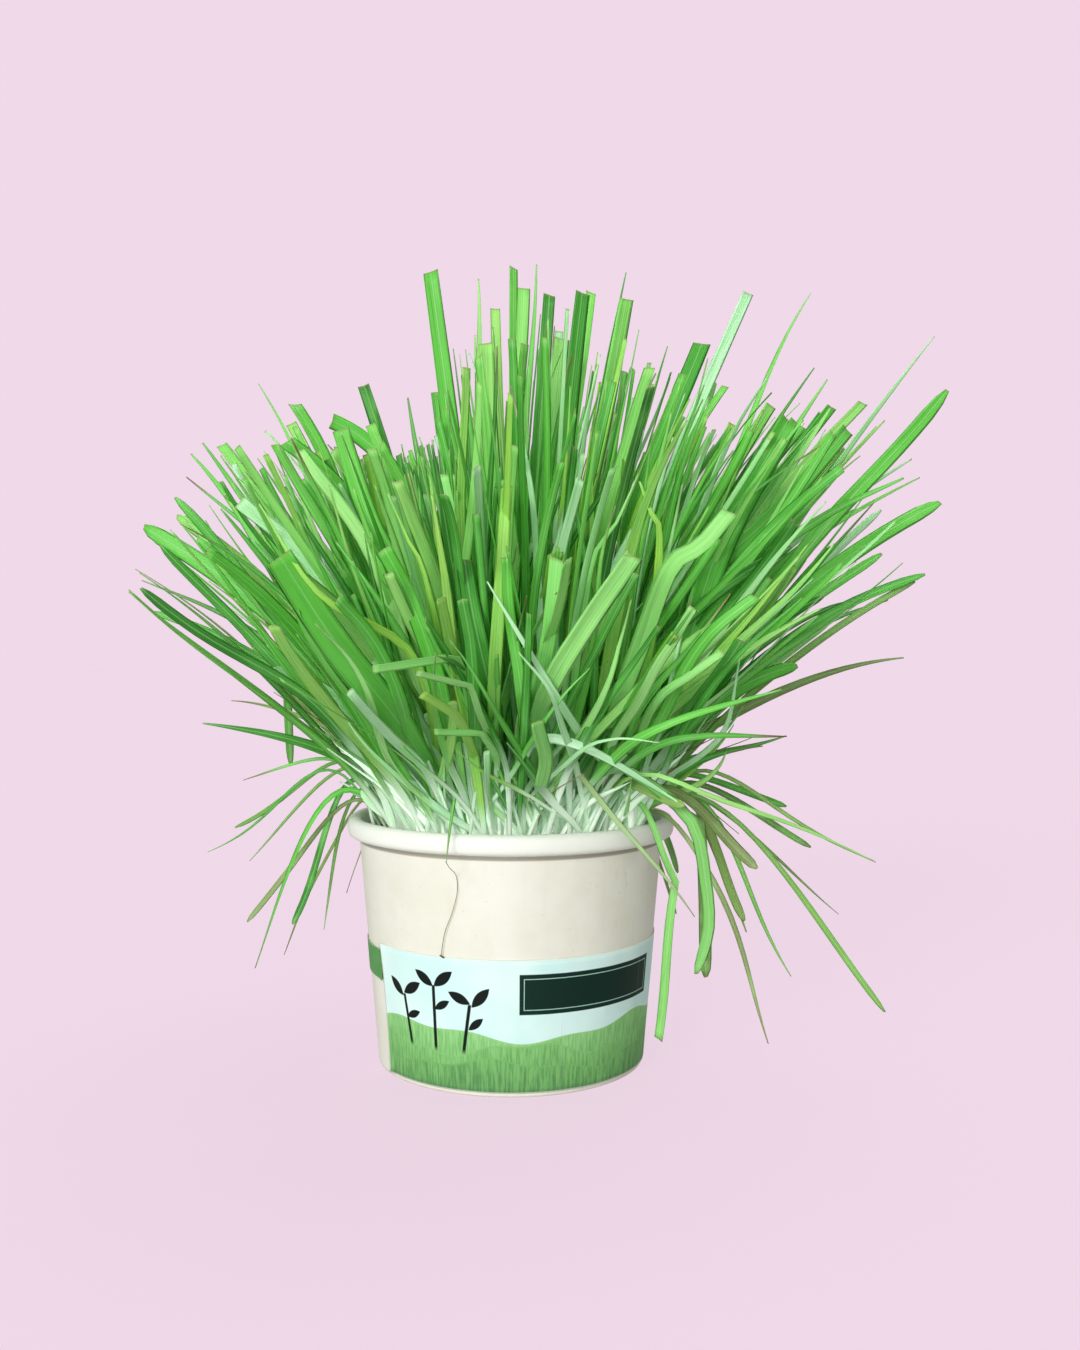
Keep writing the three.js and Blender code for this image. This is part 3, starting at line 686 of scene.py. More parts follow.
def leaf_finish():
    """Blades: white sheath, then veined green, some pale (partly painted highlight), some dry at the tip or
    all along; a painted glow at the stems' feet.
    """
    leaf = Finish("grass_leaf", gloss=0.3)
    ripe, tint = leaf.stored("ripe"), leaf.stored("tint")
    across, reach = leaf.stored("across"), leaf.stored("reach")
    dryness, pale, straw = leaf.stored("dryness"), leaf.stored("pale"), leaf.stored("straw")
    streak = leaf.noise(leaf.joined(across * 1.9, ripe * 1.6, tint * 90), 1.0, 4, 0.6)
    veins = (across * 9.5).sine() * 0.5 + 0.5
    green = veined_green(leaf, tint, across, ripe, streak, veins)
    # Partly painted highlight: the pale mint share lightens blades in place of light that they catch and
    # let through, besides their own pale tone
    mint = leaf.mix(streak.ramp(0.3, 0.7), (0.42, 0.86, 0.46), (0.7, 0.97, 0.74))
    green = leaf.mix(pale, green, mint)
    stem = leaf.mix(streak.ramp(0.3, 0.7), (0.6, 0.92, 0.6), (0.9, 0.99, 0.92))
    stem = leaf.mix(ripe.ramp(0.12, 0.5), (0.9, 0.95, 0.86), stem)
    colour = leaf.mix((ripe + (streak - 0.5) * 0.5).ramp(0.55, 1.35), stem, green)
    husk = leaf.mix(streak, (0.5, 0.44, 0.24), (0.3, 0.22, 0.1))
    colour = leaf.mix(straw * 0.85, colour, husk)
    tip = (1 - (reach + (streak - 0.5) * 8).ramp(1.5, 15)) * dryness
    colour = leaf.mix(tip, colour, (0.2, 0.095, 0.06))
    snip = (1 - reach.ramp(0.15, 0.7)) * 0.55
    colour = leaf.mix(snip, colour, (0.28, 0.3, 0.12))
    # Painted glow: the pale feet of the stems, most of all on pale blades, give off light of their own
    glow = (1 - ripe.ramp(0.3, 1.1)) * (pale * 0.8 + 0.2)
    leaf.put(leaf.shader.inputs["Emission Strength"], STEM_PAINTED_GLOW)
    return leaf.surface(
        base_color=colour,
        roughness=streak * 0.22 + 0.34,
        emission_color=leaf.mix(glow, (0, 0, 0), (0.75, 1.0, 0.76)),
        normal=leaf.bumped(veins * 0.5 + streak * 0.5, 0.00007),
    )


def veined_green(leaf, tint, across, ripe, streak, veins):
    """Green from deep to lime, clouded and streaked along the leaf, with pale veins and a rib."""
    green = leaf.shades(
        tint,
        (0.0, (0.025, 0.19, 0.015)),
        (0.25, (0.055, 0.38, 0.026)),
        (0.5, (0.115, 0.55, 0.047)),
        (0.72, (0.22, 0.7, 0.11)),
        (0.86, (0.37, 0.77, 0.21)),
        (1.0, (0.35, 0.74, 0.07)),
    )
    cloud = leaf.noise(leaf.joined(across * 0.15, ripe * 0.9, tint * 37), 1.0, 3, 0.5)
    green = leaf.mix(cloud.ramp(0.45, 0.72) * 0.45, green, (0.225, 0.74, 0.145))
    green = leaf.mix(streak.ramp(0.55, 0.3) * 0.32, green, (0.03, 0.25, 0.022))
    green = leaf.mix(veins * 0.08, green, (0.4, 0.78, 0.32))
    rib = 1 - across.size().ramp(0.06, 0.3)
    return leaf.mix(rib * 0.3, green, (0.42, 0.78, 0.34))


def board_finish():
    """Cream paperboard with long fibres, faint scuffs, and a painted shadow line under the rim."""
    board = Finish("tub_board", gloss=0.35, coat_roughness=0.45)
    where = board.place()
    height, turn = board.stored("height"), board.stored("turn")
    round_wall = board.joined(turn * 0.76, height)
    fibre = board.noise(board.stretched(round_wall, (0.5, 2.2, 1)), 1.3, 5, 0.65)
    cloud = board.noise(round_wall, 0.06, 4, 0.55)
    band = board.noise(board.stretched(round_wall, (1, 0.12, 1)), 0.25, 3, 0.6)
    colour = board.mix(cloud.ramp(0.3, 0.7), (0.79, 0.765, 0.67), (0.845, 0.835, 0.77))
    colour = board.mix(band.ramp(0.5, 0.8) * 0.25, colour, (0.74, 0.69, 0.55))
    colour = board.mix(fibre.ramp(0.6, 0.8) * 0.22, colour, (0.66, 0.56, 0.4))
    rim = height.ramp(RIM_UNDERSIDE - 0.5, RIM_UNDERSIDE + 0.1)
    colour = board.mix(rim * 0.85, colour, (0.91, 0.92, 0.88))
    # Painted shadow: a dark band on the wall just under the rolled rim, where the bead shades it
    crease = height.within(RIM_UNDERSIDE - 1.5, RIM_UNDERSIDE - 0.35, 0.3)
    colour = board.mix(crease * 0.8, colour, (0.24, 0.21, 0.16))
    scuff = board.noise(board.stretched(round_wall, (1, 0.6, 1)), 0.32, 5, 0.7, 0.6).ramp(0.56, 0.74)
    scuff = scuff * turn.within(-52, -14, 8) * height.within(44, 63, 3)
    colour = board.mix(scuff * 0.45, colour, (0.42, 0.42, 0.33))
    foot = 1 - (height + fibre * 1.4).ramp(0.6, 1.8)
    colour = board.mix(foot * 0.45, colour, (0.55, 0.45, 0.3))
    speck = 1 - board.specks(where, 260).ramp(0.035, 0.09)
    colour = board.mix(speck * 0.2, colour, (0.45, 0.33, 0.2))
    return board.surface(
        base_color=colour,
        roughness=fibre * 0.18 + 0.42,
        coat_weight=rim * 0.15 + 0.05,
        normal=board.bumped(fibre * 0.7 + cloud * 0.3, 0.00008),
    )


# Rows of hills on the label: [height, swell, pace, start, light green, dark green]
HILLS = [
    [16.2, 1.7, 0.085, 0.4, (0.27, 0.6, 0.2), (0.14, 0.43, 0.1)],
    [12.0, 1.9, 0.12, 2.1, (0.2, 0.52, 0.14), (0.09, 0.32, 0.06)],
    [7.6, 1.6, 0.1, 4.0, (0.15, 0.44, 0.1), (0.05, 0.22, 0.04)],
]
# Sprigs on the label: [place along it, height of the stem, lean in degrees]
SPRIGS = [[10, 25, 8], [21, 29, 0], [32, 24.5, -9]]
PANEL_ALONG, PANEL_RISE = 70, 27.6
PANEL_HALF_LENGTH, PANEL_HALF_HEIGHT = 24, 5.6
FRAME_INSET = 1.2
LOW_CREASE, LONG_CREASE = 58.4, 88.6


def lens_shape(along, rise, centre, length, width, lean):
    """1 inside a pointed leaf outline that is drawn on the label, in millimetres."""
    tilt = math.radians(lean)
    x, y = along - centre[0], rise - centre[1]
    lengthwise = x * math.cos(tilt) + y * math.sin(tilt)
    sideways = y * math.cos(tilt) - x * math.sin(tilt)
    edge = 1 - lengthwise * lengthwise * (4 / length**2)
    return (edge * (width / 2) - sideways.size()).ramp(-0.08, 0.12)


def sprig_shapes(along, rise, x, top, lean):
    """Stem and three leaves of one sprig."""
    tilt = math.radians(lean)
    stem_x = (along - x) + (rise - top) * math.tan(tilt)
    stem = (0.5 - stem_x.size()).ramp(-0.1, 0.1) * (1 - (rise - top).ramp(-0.2, 0.1))
    beside = x + 5.4 * math.tan(tilt) + 2.5
    return [
        stem,
        lens_shape(along, rise, (x + 3.1, top + 2.0), 7.6, 3.0, 38 - lean),
        lens_shape(along, rise, (x - 3.1, top + 1.6), 7.2, 2.8, 146 - lean),
        lens_shape(along, rise, (beside, top - 5.4), 5.6, 2.2, 30 - lean),
    ]


def with_hills(label, colour, along, rise):
    """Rows of rounded grassy hills over a colour, the nearest row last."""
    for top, swell, pace, start, light, dark in HILLS:
        line = (along * pace + start).sine() * swell + (along * pace * 2.7 + start).sine() * 0.7 + top
        depth = line - rise
        blades = label.joined(along * 1.5 + start, rise * 0.22 + depth * 0.08, top)
        tuft = label.noise(blades, 1.0, 3, 0.6)
        shade = (tuft.ramp(0.32, 0.68) + depth.ramp(0, 7) * -0.45 + 0.2).most(0).least(1)
        crown = 1 - depth.ramp(0.0, 1.3)
        print_green = label.mix(shade.most(crown * 0.8), dark, light)
        colour = label.mix(depth.ramp(-0.12, 0.12), colour, print_green)
    return colour


def with_panel(label, colour, along, rise):
    """A plain dark panel over a colour, with a thin pale frame inside its edge."""
    past_x = (along - PANEL_ALONG).size() - PANEL_HALF_LENGTH
    past_y = (rise - PANEL_RISE).size() - PANEL_HALF_HEIGHT
    inside = (1 - past_x.ramp(-0.1, 0.1)) * (1 - past_y.ramp(-0.1, 0.1))
    colour = label.mix(inside, colour, (0.004, 0.024, 0.018))
    frame_x = (along - PANEL_ALONG).size() - (PANEL_HALF_LENGTH - FRAME_INSET)
    frame_y = (rise - PANEL_RISE).size() - (PANEL_HALF_HEIGHT - FRAME_INSET)
    frame_line = frame_x.most(frame_y).within(-0.22, 0.0, 0.06)
    return label.mix(frame_line * 0.8, colour, (0.5, 0.8, 0.68))


def label_finish():
    """Printed paper: pale sky, rows of rounded green hills, a dark plain panel and leaf sprigs."""
    label = Finish("label_paper", gloss=0.12, coat_roughness=0.4)
    along, rise = label.stored("along"), label.stored("rise")
    flat = label.joined(along, rise)
    wash = label.noise(flat, 0.05, 3)
    sky = label.mix(wash.ramp(0.3, 0.7), (0.6, 0.86, 0.85), (0.72, 0.92, 0.9))
    colour = with_hills(label, sky, along, rise)
    grain = label.noise(flat, 3.2, 4, 0.7)
    colour = label.mix(grain * 0.12, colour, (0.85, 0.92, 0.88))
    colour = with_panel(label, colour, along, rise)
    shapes = [shape for sprig in SPRIGS for shape in sprig_shapes(along, rise, *sprig)]
    above_hills = rise.ramp(10, 12)
    colour = label.mix(reduce(Wire.most, shapes) * above_hills, colour, (0.006, 0.01, 0.009))
    colour = label.mix(grain.ramp(0.55, 0.8) * 0.03, colour, (0.6, 0.66, 0.62))
    margin = (along - 0.35).least(rise - 0.3).least(LABEL_TOP - LABEL_BOTTOM - 0.35 - rise)
    colour = label.mix((1 - margin.ramp(-0.1, 0.25)) * 0.8, colour, (0.84, 0.86, 0.8))
    crease = (1 - (along - LOW_CREASE).size().ramp(0.0, 0.16)) * (1 - rise.ramp(17, 22))
    crease = crease + (1 - (along - LONG_CREASE).size().ramp(0.0, 0.2)) * rise.ramp(8, 20) * 0.7
    colour = label.mix(crease * 0.25, colour, (0.35, 0.4, 0.36))
    return label.surface(
        base_color=colour,
        roughness=grain * 0.16 + 0.42,
        coat_weight=wash * 0.06,
        normal=label.bumped(grain * 0.4 - crease * 0.5, 0.00008),
    )


def strip_finish():
    """Plain green printed paper, worn pale at its long edges."""
    strip = Finish("strip_paper", gloss=0.25)
    along, rise = strip.stored("along"), strip.stored("rise")
    flat = strip.joined(along, rise)
    grain = strip.noise(flat, 3.0, 4, 0.7)
    wash = strip.noise(flat, 0.12, 3)
    colour = strip.mix(wash.ramp(0.3, 0.7), (0.055, 0.27, 0.05), (0.085, 0.34, 0.075))
    colour = strip.mix(grain * 0.14, colour, (0.4, 0.62, 0.35))
    margin = rise.least(STRIP_TOP - STRIP_BOTTOM - rise)
    colour = strip.mix((1 - (margin + grain * 0.2).ramp(0.1, 0.35)) * 0.7, colour, (0.55, 0.68, 0.5))
    return strip.surface(
        base_color=colour, roughness=grain * 0.2 + 0.36, normal=strip.bumped(grain, 0.00005)
    )


def soil_finish():
    """Damp dark potting soil with fine crumbs and flecks of fibre."""
    soil = Finish("soil")
    where = soil.place()
    crumb = soil.noise(where, 620, 6, 0.7)
    clod = soil.noise(where, 120, 4, 0.6)
    colour = soil.shades(
        crumb, (0.3, (0.008, 0.006, 0.004)), (0.55, (0.035, 0.022, 0.014)), (0.78, (0.11, 0.07, 0.042))
    )
    colour = soil.mix(clod.ramp(0.55, 0.8) * 0.4, colour, (0.09, 0.05, 0.03))
    fleck = 1 - soil.specks(soil.stretched(where, (1, 0.4, 1)), 420).ramp(0.06, 0.16)
    colour = soil.mix(fleck * 0.35, colour, (0.3, 0.24, 0.16))
    return soil.surface(
        base_color=colour,
        roughness=crumb * 0.25 + 0.7,
        normal=soil.bumped(crumb * 0.7 + clod * 0.3, 0.0007),
    )


def crumb_finish():
    """Loose bits: soil crumbs, tan grain husks, white perlite and roots, told apart by their tone."""
    crumb = Finish("soil_bits")
    where = crumb.place()
    tone = crumb.stored("tone")
    grain = crumb.noise(where, 900, 5, 0.65)
    colour = crumb.shades(
        tone,
        (0.0, (0.014, 0.009, 0.006)),
        (0.3, (0.06, 0.035, 0.02)),
        (0.5, (0.36, 0.22, 0.1)),
        (0.7, (0.56, 0.4, 0.2)),
        (1.0, (0.8, 0.82, 0.74)),
    )
    colour = crumb.mix(grain.ramp(0.35, 0.7) * 0.5, colour, (0.03, 0.02, 0.012))
    return crumb.surface(
        base_color=colour, roughness=grain * 0.3 + 0.5, normal=crumb.bumped(grain, 0.0003)
    )


def thread_finish():
    """Dry threads and wisps: straw brown, darker in places."""
    thread = Finish("dry_thread")
    where = thread.place()
    grain = thread.noise(thread.stretched(where, (1, 1, 0.3)), 600, 4, 0.6)
    tone = thread.stored("tone")
    colour = thread.mix(tone, (0.16, 0.1, 0.055), (0.42, 0.33, 0.18))
    colour = thread.mix(grain.ramp(0.4, 0.7) * 0.5, colour, (0.1, 0.06, 0.035))
    return thread.surface(
        base_color=colour, roughness=grain * 0.2 + 0.5, normal=thread.bumped(grain, 0.0001)
    )


# Meshes

def make_piece(name, points, faces, finish, stored=None, replaced=()):
    """A piece from points in millimetres, riding on the one body."""
    mesh = bpy.data.meshes.new(name)
    mesh.from_pydata((np.asarray(points, float) * MM).tolist(), [], faces)
    mesh.update()
    for key, values in (stored or {}).items():
        layer = mesh.attributes.new(key, "FLOAT", "POINT")
        layer.data.foreach_set("value", np.asarray(values, np.float32))
    mesh.polygons.foreach_set("use_smooth", [True] * len(mesh.polygons))
    mesh.materials.append(finish)
    piece = bpy.data.objects.new(name, mesh)
    bpy.context.scene.collection.objects.link(piece)
    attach(piece, "root")
    if replaced:
        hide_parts(*replaced)
    return piece


class Heap:
    """Many small closed shapes gathered into one mesh."""

    def __init__(self):
        self.points, self.faces, self.stored, self.count = [], [], {}, 0

    def add(self, points, faces, **values):
        self.points.append(points)
        self.faces += [tuple(self.count + corner for corner in face) for face in faces]
        for key, value in values.items():
            filled = np.broadcast_to(np.asarray(value, float), (len(points),))
            self.stored.setdefault(key, []).append(filled)
        self.count += len(points)

    def piece(self, name, finish, slot, replaced=()):
        stored = {key: np.concatenate(values) for key, values in self.stored.items()}
        return make_piece(name, np.concatenate(self.points), self.faces, finish, stored, replaced)


def tube_faces(rings, sides):
    """Faces of a closed tube of rings, with both ends capped."""
    faces = [tuple(reversed(range(sides)))]
    for ring in range(rings - 1):
        for side in range(sides):
            a = ring * sides + side
            b = ring * sides + (side + 1) % sides
            faces.append((a, b, b + sides, a + sides))
    last = (rings - 1) * sides
    faces.append(tuple(range(last, last + sides)))
    return faces


def unit(vectors):
    return vectors / np.linalg.norm(vectors, axis=-1, keepdims=True)


def run_along(path):
    """Length of the path from its start to each point."""
    steps = np.linalg.norm(np.diff(path, axis=0), axis=1)
    return np.concatenate([[0], np.cumsum(steps)])


def closer_to_end(count):
    """Shares from 0 to 1 that lie closer together towards 1."""
    return 1 - (1 - np.linspace(0, 1, count)) ** 1.3


def smooth_path(points, count):
    """Points on a curve that passes through all the given ones, closer together towards its end."""
    points = np.asarray(points, float)
    ends = np.vstack([2 * points[0] - points[1], points, 2 * points[-1] - points[-2]])
    fine = []
    for i in range(len(points) - 1):
        a, b, c, d = ends[i : i + 4]
        squared, cubed = 2 * a - 5 * b + 4 * c - d, 3 * b - a - 3 * c + d
        for t in np.linspace(0, 1, 12, endpoint=i == len(points) - 2):
            fine.append(0.5 * (2 * b + (c - a) * t + squared * t**2 + cubed * t**3))
    fine = np.array(fine)
    lengths = run_along(fine)
    wanted = lengths[-1] * closer_to_end(count)
    return np.stack([np.interp(wanted, lengths, fine[:, axis]) for axis in range(3)], axis=1)


def thin_tube(heap, path, radius, tone, sides=5):
    """A closed thin tube along a path; radius is one number or one for each point."""
    path = np.asarray(path, float)
    tangents = unit(np.gradient(path, axis=0))
    away = np.where(np.abs(tangents[:, 2:]) > 0.9, [[1.0, 0.0, 0.0]], [[0.0, 0.0, 1.0]])
    first = unit(np.cross(tangents, away))
    second = np.cross(tangents, first)
    turn = np.arange(sides) * 2 * math.pi / sides
    radii = np.broadcast_to(np.asarray(radius, float), (len(path),))[:, None, None]
    circle = np.cos(turn)[None, :, None] * first[:, None] + np.sin(turn)[None, :, None] * second[:, None]
    heap.add((path[:, None] + circle * radii).reshape(-1, 3), tube_faces(len(path), sides), tone=tone)


# Fine blades

# Points round a blade's section: left edge, upper side, right edge, underside
ACROSS = np.array([-1, -0.6, 0, 0.6, 1, 0.6, 0, -0.6])
OUTSIDE = np.array([0, 1, 1, 1, 0, -1, -1, -1])
RIGHT_EDGE = 4
RINGS = 22
FOOT_RINGS = 4
BLADE_FACES = tube_faces(RINGS, len(ACROSS))
LEAF_THICKNESS = 0.26
STEM_THICKNESS = 1.1
STEM_HALF_WIDTH = 0.72
# Most that a blade turns about its own length, in degrees
SWING = 75
# Length of the pale foot of a white stem
WHITE_SHEATH = 60

# Tones of a blade: [green from deep to lime, share of pale mint (partly painted highlight), share of dry
# straw]
TONES = {
    "deep": (0.12, 0, 0),
    "fresh": (0.48, 0, 0),
    "light": (0.8, 0.1, 0),
    "lime": (0.96, 0, 0),
    "olive": (0.9, 0, 0.16),
    "mint": (0.7, 0.75, 0),
    "hung": (0.46, 0.14, 0.16),
    "white": (0.75, 1, 0),
    "straw": (0.7, 0.5, 0.55),
}


def centre_line(blade):
    """Points along a blade, one for each ring and one of them at its kink."""
    alongs = closer_to_end(RINGS)
    if blade.kink:
        alongs[np.abs(alongs - blade.kink_at).argmin()] = blade.kink_at
    return np.array([blade_point(blade, t) for t in alongs])


def direction_across(path, facing):
    """Level direction across a whole blade whose flat side looks the given way."""
    chord = unit(path[-1] - path[0])
    across = np.cross(chord, facing)
    if np.linalg.norm(across) < 0.25:
        across = np.cross(chord, [0.3, 0.2, 1.0])
    return unit(across)


def swayed(path, across, lengths, draw):
    """A centre line with a slight sideways sway between its ends."""
    alongs = lengths / lengths[-1]
    sway = draw(-1, 1) * min(3.6, lengths[-1] * 0.024)
    bend = np.sin(alongs * math.pi * draw(1.2, 2.6) + draw(0, 6.3)) * np.sin(alongs * math.pi)
    return path + across * (sway * bend)[:, None]


def directions(path, across, facing, twist):
    """Directions along a leaf, across it and out of its underside, at each ring."""
    tangents = unit(np.gradient(path, axis=0))
    level = np.cross(tangents, facing)
    if np.linalg.norm(level, axis=1).min() < 0.35:
        level = across - tangents * (tangents @ across)[:, None]
    level = unit(level)
    side = level * np.cos(twist) + np.cross(tangents, level) * np.sin(twist)
    return tangents, side, np.cross(tangents, side)


def half_widths(lengths, width, cut, sheath, neck, rounded):
    """Half the width at each ring: a rolled stem, the opened leaf, then the tip."""
    total = lengths[-1]
    alongs = lengths / total
    opened = np.clip((lengths - ROOT_DEPTH) / min(total * 0.5, max(sheath * 2.1, 12)), 0, 1) ** 0.8
    half = width * np.array([width_share(t, cut, neck) for t in alongs]) / 2
    half = half * opened + np.minimum(half, STEM_HALF_WIDTH) * (1 - opened)
    if rounded:
        half = half * np.sqrt(np.clip(1 - ((alongs - 0.94) / 0.063).clip(0) ** 2, 0.1, 1))
    return half


def leaf_points(path, side, below, half, fold, thick):
    """Points round each ring: out to the edges, down into the fold, and apart by the thickness."""
    belly = np.maximum(np.sqrt(1 - ACROSS**2), 0.25)
    return (
        path[:, None]
        + side[:, None] * (half[:, None] * ACROSS)[..., None]
        + below[:, None] * (fold[:, None] * (1 - np.abs(ACROSS) ** 1.3))[..., None]
        - below[:, None] * (0.5 * thick[:, None] * OUTSIDE * belly)[..., None]
    )


def fine_blade(heap, path, width, cut, facing, tone, draw, swing=SWING, sheath=None, neck=NECK):
    """A thin folded leaf along a path, rounded into a pale sheath at the foot."""
    lengths = run_along(path)
    across = direction_across(path, facing)
    rounded = cut and abs(unit(path[-1] - path[0])[0]) > 0.5
    path = swayed(path, across, lengths, draw)
    twist = np.radians(draw(-0.37, 0.37) * swing + draw(-swing, swing) * (lengths / lengths[-1]))[:, None]
    tangents, side, below = directions(path, across, facing, twist)
    sheath = sheath or draw(15, 40)
    leafy = np.clip((lengths - ROOT_DEPTH) / max(sheath, 8), 0, 1)
    half = half_widths(lengths, width, cut, sheath, neck, rounded)
    fold = half * draw(0.12, 0.42) * leafy
    thick = STEM_THICKNESS * (1 - leafy) ** 1.5 + LEAF_THICKNESS
    points = leaf_points(path, side, below, half, fold, thick)
    if cut:
        points[-1] += tangents[-1] * (ACROSS * half[-1] * draw(-0.5, 0.5))[:, None]
    tint, pale, straw = tone
    sides = len(ACROSS)
    heap.add(
        points.reshape(-1, 3),
        BLADE_FACES,
        ripe=np.repeat((lengths - ROOT_DEPTH) / sheath, sides),
        reach=np.repeat(lengths[-1] - lengths, sides),
        across=np.tile(ACROSS, RINGS) * np.repeat(half, sides),
        tint=min(1, max(0, tint + draw(-0.1, 0.1))),
        dryness=max(0, draw(-1.2, 1)) if width < 3.4 and not cut else 0,
        pale=pale * draw(0.7, 1),
        straw=max(0, straw),
    )


def any_tone(draw):
    """Most blades are fresh green, some deep, light or lime; a few are pale mint, partly as painted
    highlight, and a few dry.
    """
    pick = draw(0, 1)
    if pick < 0.03:
        return (0.9, 0.1, draw(0.25, 0.7))
    if pick < 0.13:
        return (0.75, draw(0.3, 0.9), 0)
    if pick < 0.24:
        return (draw(0.9, 1), 0, 0)
    if pick < 0.46:
        return (draw(0.68, 0.9), 0, 0)
    return (draw(0.0, 0.7), 0, 0)


def front_tone(draw):
    """Blades towards the eye differ more: some pale, partly as painted highlight, some dark, some lime."""
    pick = draw(0, 1)
    if pick < 0.24:
        return (0.75, draw(0.5, 1), 0)
    if pick < 0.36:
        return (draw(0.9, 1), 0, 0)
    if pick < 0.6:
        return (draw(0.7, 0.9), 0.1, 0)
    if pick < 0.84:
        return (draw(0, 0.15), 0, 0)
    return (draw(0.3, 0.6), 0, 0)


def dull_tone(draw, greenest, least_straw, most_straw):
    """Hanging blades and those far out at the sides are deeper green or brownish."""
    return (draw(0, greenest), 0, max(0, draw(least_straw, most_straw)))


def any_facing(draw):
    """Way that a blade's flat side looks: anywhere, but more often sideways than up."""
    return np.array([draw(-1, 1), draw(-1, 1), draw(-0.5, 0.5)])


def eye_facing(draw, aside, low, high):
    """Way that a blade's flat side looks, near that of the eye."""
    return np.array([draw(-aside, aside), -1, draw(low, high)])


def seen_height(point, line):
    """Height at which a line that the eye sees crosses the upright above or below a point."""
    near = (EYE_BACK + point[1]) / EYE_BACK
    across, heights = zip(*line)
    return EYE_HEIGHT + (np.interp(point[0] / near, across, heights) - EYE_HEIGHT) * near


def nearer(path, shift):
    """A centre line whose part above the rim is moved towards the eye, where it looks the same."""
    to_eye = unit(np.array([0, -EYE_BACK, EYE_HEIGHT]) - path)
    return path + to_eye * (np.clip((path[:, 2] - OVER_RIM) / 26, 0, 1) * shift)[:, None]


def under_crest(path, draw):
    """A blade's centre line, cut short where it would stand above the crest."""
    drop = draw(-3, 16)
    for i, point in enumerate(path):
        if point[2] > seen_height(point, CREST) - drop:
            return smooth_path(path[: max(i, 8)], RINGS)
    return path


def grown(turn, radius, heading, lean, length, width, draw):
    """A blade from a root on the mat, shortened until its tip is inside the tuft."""
    root_x = max(MAT_LEFT, math.cos(turn) * radius)
    root = Vector((root_x, math.sin(turn) * radius, MAT_TOP - ROOT_DEPTH))
    limit = 0.93 / math.hypot(math.cos(heading) / SIDE_REACH, math.sin(heading) / FRONT_REACH)
    for _ in range(12):
        level = math.sin(math.radians(lean)) * length
        tip = root + Vector((math.cos(heading) * level, math.sin(heading) * level, 0))
        tip.z += math.cos(math.radians(lean)) * length
        inside = math.hypot(tip.x, tip.y) < limit and tip.z < seen_height(tip, CREST)
        if inside and tip.z > seen_height(tip, SKIRT):
            break
        length *= 0.93
    droop = draw(0, 1) ** 2 * 26
    blade = make_blade(root, tip, width, lean * 0.6, lean + droop, draw(0, 1) < 0.5, draw)
    return settle(blade, inside_cone=False)


def clear_line(blade):
    """Centre line of a rule-made blade, or nothing where it would run into the rim."""
    return centre_line(blade) if is_clear(blade, inside_cone=False) else None


def loose_blade(centre, draw, short):
    """A blade that grows anywhere in its bunch and may cross its neighbours."""
    spread = math.sqrt(draw(0.02, 1))
    radius = (31 if centre in LEFT_BUNCHES else 37.5) * spread
    turn = math.radians(centre + draw(-22.5, 22.5))
    heading = turn + math.radians(draw(-1, 1) * (90 if short else 65))
    if short:
        lean, length, width = draw(4, 30) + 26 * spread, draw(24, 66), draw(1.1, 2.6)
    else:
        lean, length, width = draw(0, 15) + spread * draw(8, 40), draw(78, 182), draw(1.2, 3.7)
    return grown(turn, radius, heading, lean, length, width, draw)


def front_blade(draw):
    """A narrow blade on the side towards the eye, which crosses those behind it."""
    radius, turn = draw(6, 35), math.radians(draw(195, 345))
    heading = turn + math.radians(draw(-1, 1) * 105)
    lean, length = draw(0, 18) + radius * draw(0.1, 1.0), 26 + 78 * draw(0, 1) ** 2
    return grown(turn, radius, heading, lean, length, draw(0.8, 2.6), draw)


def lean_aside(path, shift):
    """A centre line whose upper part leans to one side, by so much at the tip."""
    rise = np.clip((path[:, 2] - 90) / max(30, path[-1, 2] - 90), 0, 1) ** 1.4
    outward = unit(path[-1, :2] + [0.01, 0])
    return path + np.outer(rise * shift, [-outward[1], outward[0], 0])


# Hanging blades have these shares of the widths of the solid ones
HANGING_WIDTHS = {"kinked": 0.9, "left": 0.62, "right": 0.8}
# Blades that lean more than this at the tip arch by some degrees more, from a root further in
ARCHED_FROM, ARCH, ROOT_SHARE = 44, 9, 0.8


def draw_in(blade):
    """Moves a leaning blade's foot inwards and lets it arch, as in the photograph."""
    if blade.picked and blade.end_lean > ARCHED_FROM:
        blade.start_lean -= ARCH
        blade.end_lean += ARCH
        blade.root.x *= ROOT_SHARE
        blade.root.y *= ROOT_SHARE
    blade.root.x = max(MAT_LEFT, blade.root.x)


def own_blade(heap, blade, draw):
    """Adds a fine blade in the place of one of the solid bunch's."""
    hangs = blade.end_lean > DROOP_LEAN
    path, tone, width = centre_line(blade), any_tone(draw), blade.width
    towards_eye = blade.tip.y < 60 and (blade.picked or draw(0, 1) < 0.6)
    facing = eye_facing(draw, 0.4, -0.3, 0.3) if towards_eye else any_facing(draw)
    if width > 3:
        tone = (*tone[:2], 0)
    if hangs or blade.kink:
        tone = dull_tone(draw, 0.5, -0.2, 0.6)
        side = "left" if blade.tip.x < 0 else "right"
        width *= HANGING_WIDTHS["kinked" if blade.kink else side]
    elif blade.picked:
        width *= 1.1
    else:
        width *= draw(0.42, 0.84)
        path = under_crest(lean_aside(path, draw(-16, 16)), draw)
    if blade.kink and blade.tip.y < -30:
        tone = TONES["hung"]
    elif abs(blade.tip.x) > 84 and blade.tip.z < 150:
        tone = dull_tone(draw, 0.4, -0.1, 0.5)
        width *= 0.8
    swing = 24 if blade.picked else SWING
    sheath = 9 if hangs or blade.kink else None
    neck = 0.85 if hangs else NECK
    fine_blade(heap, path, width, blade.cut, facing, tone, draw, swing, sheath, neck)


